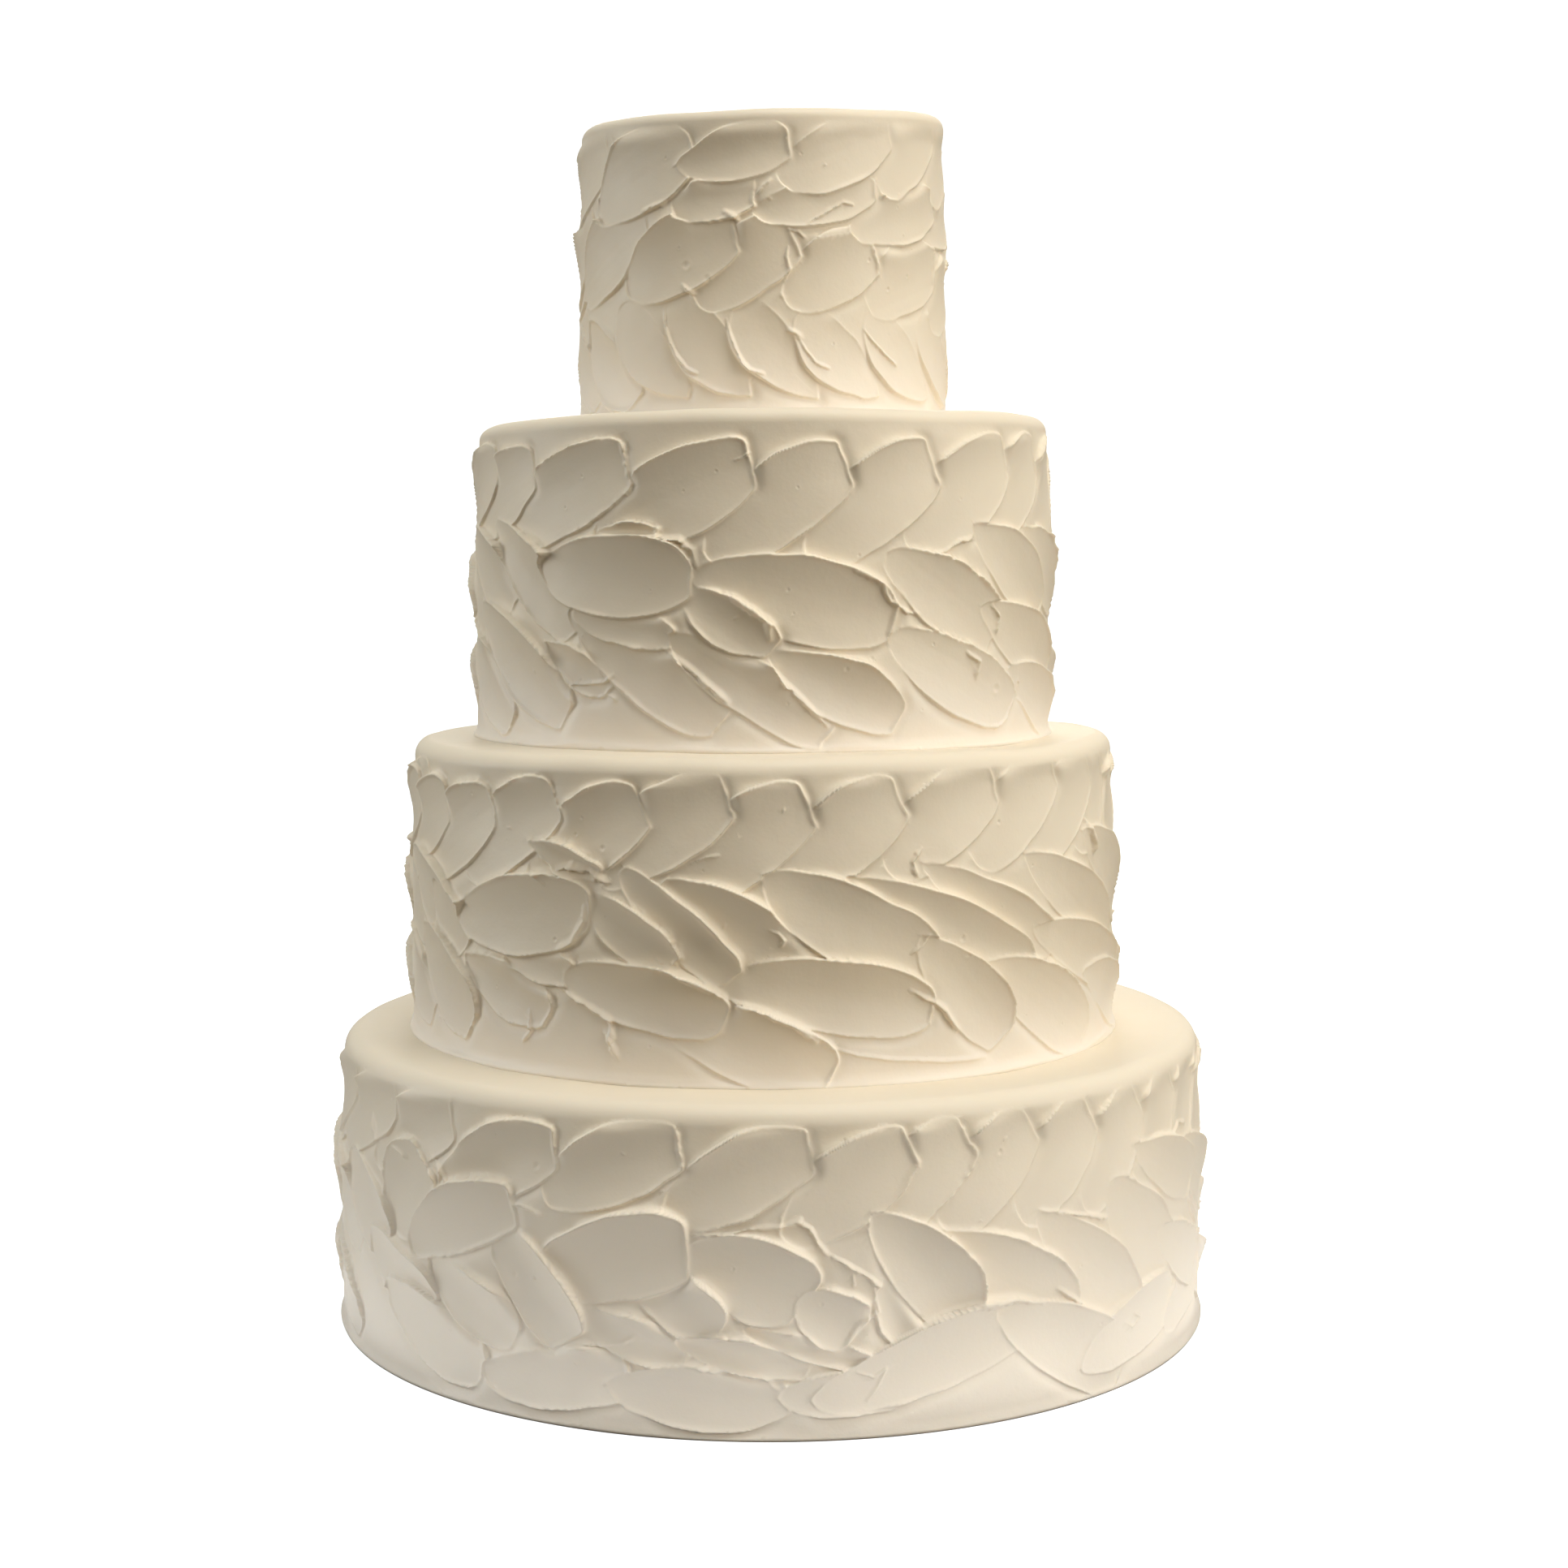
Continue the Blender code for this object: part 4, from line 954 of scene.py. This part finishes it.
# Studio: a white floor that rises into a white cove, soft lights on the right, one overhead, a cool one on
# the left, one behind, and a sky that is brightest near the horizon. The floor and the cove are only seen:
# what throws light back on the cake is an unseen ring on the floor near it.
CAMERA_PLACE = (0.006, -1.112, 0.339)
CAMERA_DIP = 0.09
CAMERA_LENS = 55.64
CAMERA_SENSOR = 36.0
CAMERA_CLIP = (0.01, 50.0)
RING_INNER = 0.209
RING_OUTER = 0.295
RING_LEVEL = 0.0004
COVE_RADIUS = 3.4
COVE_BEND = 1.2
COVE_HEIGHT = 4.5
COVE_STEPS = 96
STUDIO_COLOUR = (0.9, 0.9, 0.9, 1.0)
STUDIO_GLOW = (0.80, (0.97, 0.985, 1.0, 1.0))
RING_COLOUR = (0.9, 0.9, 0.92, 1.0)
RING_GLOW = (0.16, (0.62, 0.78, 1.0, 1.0))
LIGHTS = (
    # name, azimuth and elevation as seen from the cake, watts and colour
    ("right_front", 50, 12, 12.5, (1.0, 0.95, 0.87)),
    ("right", 75, 12, 9.0, (1.0, 0.985, 0.95)),
    ("right_high", 60, 55, 7.5, (1.0, 0.96, 0.89)),
    ("overhead", 30, 76, 16.5, (1.0, 0.962, 0.925)),
    ("left", -92, 10, 15.4, (0.94, 0.975, 1.0)),
    ("back", 180, 30, 12.0, (1.0, 0.96, 0.89)),
)
LIGHT_TARGET = (0.0, 0.0, 0.27)
LIGHT_DISTANCE = 2.2
LIGHT_SIZE = 0.9
# Sky: height of the direction, from -1 straight down to 1 straight up, then colour.
SKY = (
    (-1.0, (0.02, 0.02, 0.02)),
    (-0.05, (0.02, 0.02, 0.02)),
    (0.15, (0.54, 0.46, 0.36)),
    (1.0, (0.24, 0.34, 0.42)),
)


def studio_material(name, colour, glow):
    """White, glowing a little, so that the floor stays pale in the cake's shadow."""
    material = bpy.data.materials.new(name)
    material.use_nodes = True
    shader = material.node_tree.nodes["Principled BSDF"]
    shader.inputs["Base Color"].default_value = colour
    shader.inputs["Roughness"].default_value = 0.9
    shader.inputs["Specular IOR Level"].default_value = 0.0
    shader.inputs["Emission Strength"].default_value, shader.inputs["Emission Color"].default_value = glow
    return material


def stage_piece(name, rings, material):
    """A turned sheet through rings of (radius, height), as part of the stage."""
    turns = np.linspace(0.0, 2.0 * math.pi, COVE_STEPS, endpoint=False)
    points = [(r * math.cos(t), r * math.sin(t), z) for r, z in rings for t in turns]
    faces = []
    for ring in range(len(rings) - 1):
        for k in range(COVE_STEPS):
            here, after = ring * COVE_STEPS + k, ring * COVE_STEPS + (k + 1) % COVE_STEPS
            faces.append((here, here + COVE_STEPS, after + COVE_STEPS, after))
    mesh = bpy.data.meshes.new(name)
    mesh.from_pydata(points, [], faces)
    mesh.materials.append(material)
    mesh.shade_smooth()
    piece = bpy.data.objects.new(name, mesh)
    bpy.context.scene.collection.objects.link(piece)
    return piece


def build_studio():
    """Floor, cove, lights, sky and camera."""
    scene = bpy.context.scene
    ring_material = studio_material("studio_ring", RING_COLOUR, RING_GLOW)
    ring = stage_piece("studio_ring", [(RING_INNER, RING_LEVEL), (RING_OUTER, RING_LEVEL)], ring_material)
    ring.visible_camera = False
    ring.visible_shadow = False
    rings = [(0.001, 0.0), (1.0, 0.0), (COVE_RADIUS - COVE_BEND, 0.0)]
    for k in range(1, 13):
        turn = 0.5 * math.pi * k / 12
        rings.append((COVE_RADIUS - COVE_BEND * (1.0 - math.sin(turn)), COVE_BEND * (1.0 - math.cos(turn))))
    rings += [(COVE_RADIUS, COVE_HEIGHT), (0.001, COVE_HEIGHT)]
    cove = stage_piece("studio_cove", rings, studio_material("studio_white", STUDIO_COLOUR, STUDIO_GLOW))
    cove.visible_diffuse = False
    cove.visible_glossy = False
    cove.visible_transmission = False
    cove.visible_shadow = False

    for name, azimuth, elevation, watts, colour in LIGHTS:
        lamp = bpy.data.lights.new(name, "AREA")
        lamp.energy = watts
        lamp.size = LIGHT_SIZE
        lamp.color = colour
        around, up = math.radians(azimuth), math.radians(elevation)
        way = Vector((math.sin(around) * math.cos(up), -math.cos(around) * math.cos(up), math.sin(up)))
        light = bpy.data.objects.new(name, lamp)
        light.location = Vector(LIGHT_TARGET) + LIGHT_DISTANCE * way
        light.rotation_euler = way.to_track_quat("Z", "Y").to_euler()
        light.visible_camera = False
        scene.collection.objects.link(light)

    world = bpy.data.worlds.new("studio_sky")
    world.use_nodes = True
    nodes, links = world.node_tree.nodes, world.node_tree.links
    direction = nodes.new("ShaderNodeTexCoord")
    split = nodes.new("ShaderNodeSeparateXYZ")
    spread = nodes.new("ShaderNodeMapRange")
    spread.inputs["From Min"].default_value = -1.0
    ramp = nodes.new("ShaderNodeValToRGB")
    stops = ramp.color_ramp.elements
    while len(stops) < len(SKY):
        stops.new(0.5)
    for stop, (height, colour) in zip(stops, SKY):
        stop.position = 0.5 + 0.5 * height
        stop.color = (*colour, 1.0)
    links.new(direction.outputs["Generated"], split.inputs["Vector"])
    links.new(split.outputs["Z"], spread.inputs["Value"])
    links.new(spread.outputs["Result"], ramp.inputs["Fac"])
    links.new(ramp.outputs["Color"], nodes["Background"].inputs["Color"])
    scene.world = world

    camera = bpy.data.cameras.new("camera")
    camera.lens = CAMERA_LENS
    camera.sensor_width = CAMERA_SENSOR
    camera.clip_start, camera.clip_end = CAMERA_CLIP
    viewer = bpy.data.objects.new("camera", camera)
    viewer.location = CAMERA_PLACE
    viewer.rotation_euler = (0.5 * math.pi - CAMERA_DIP, 0.0, 0.0)
    scene.collection.objects.link(viewer)
    scene.camera = viewer
    scene.view_settings.view_transform = "Standard"


build_cake()
build_studio()
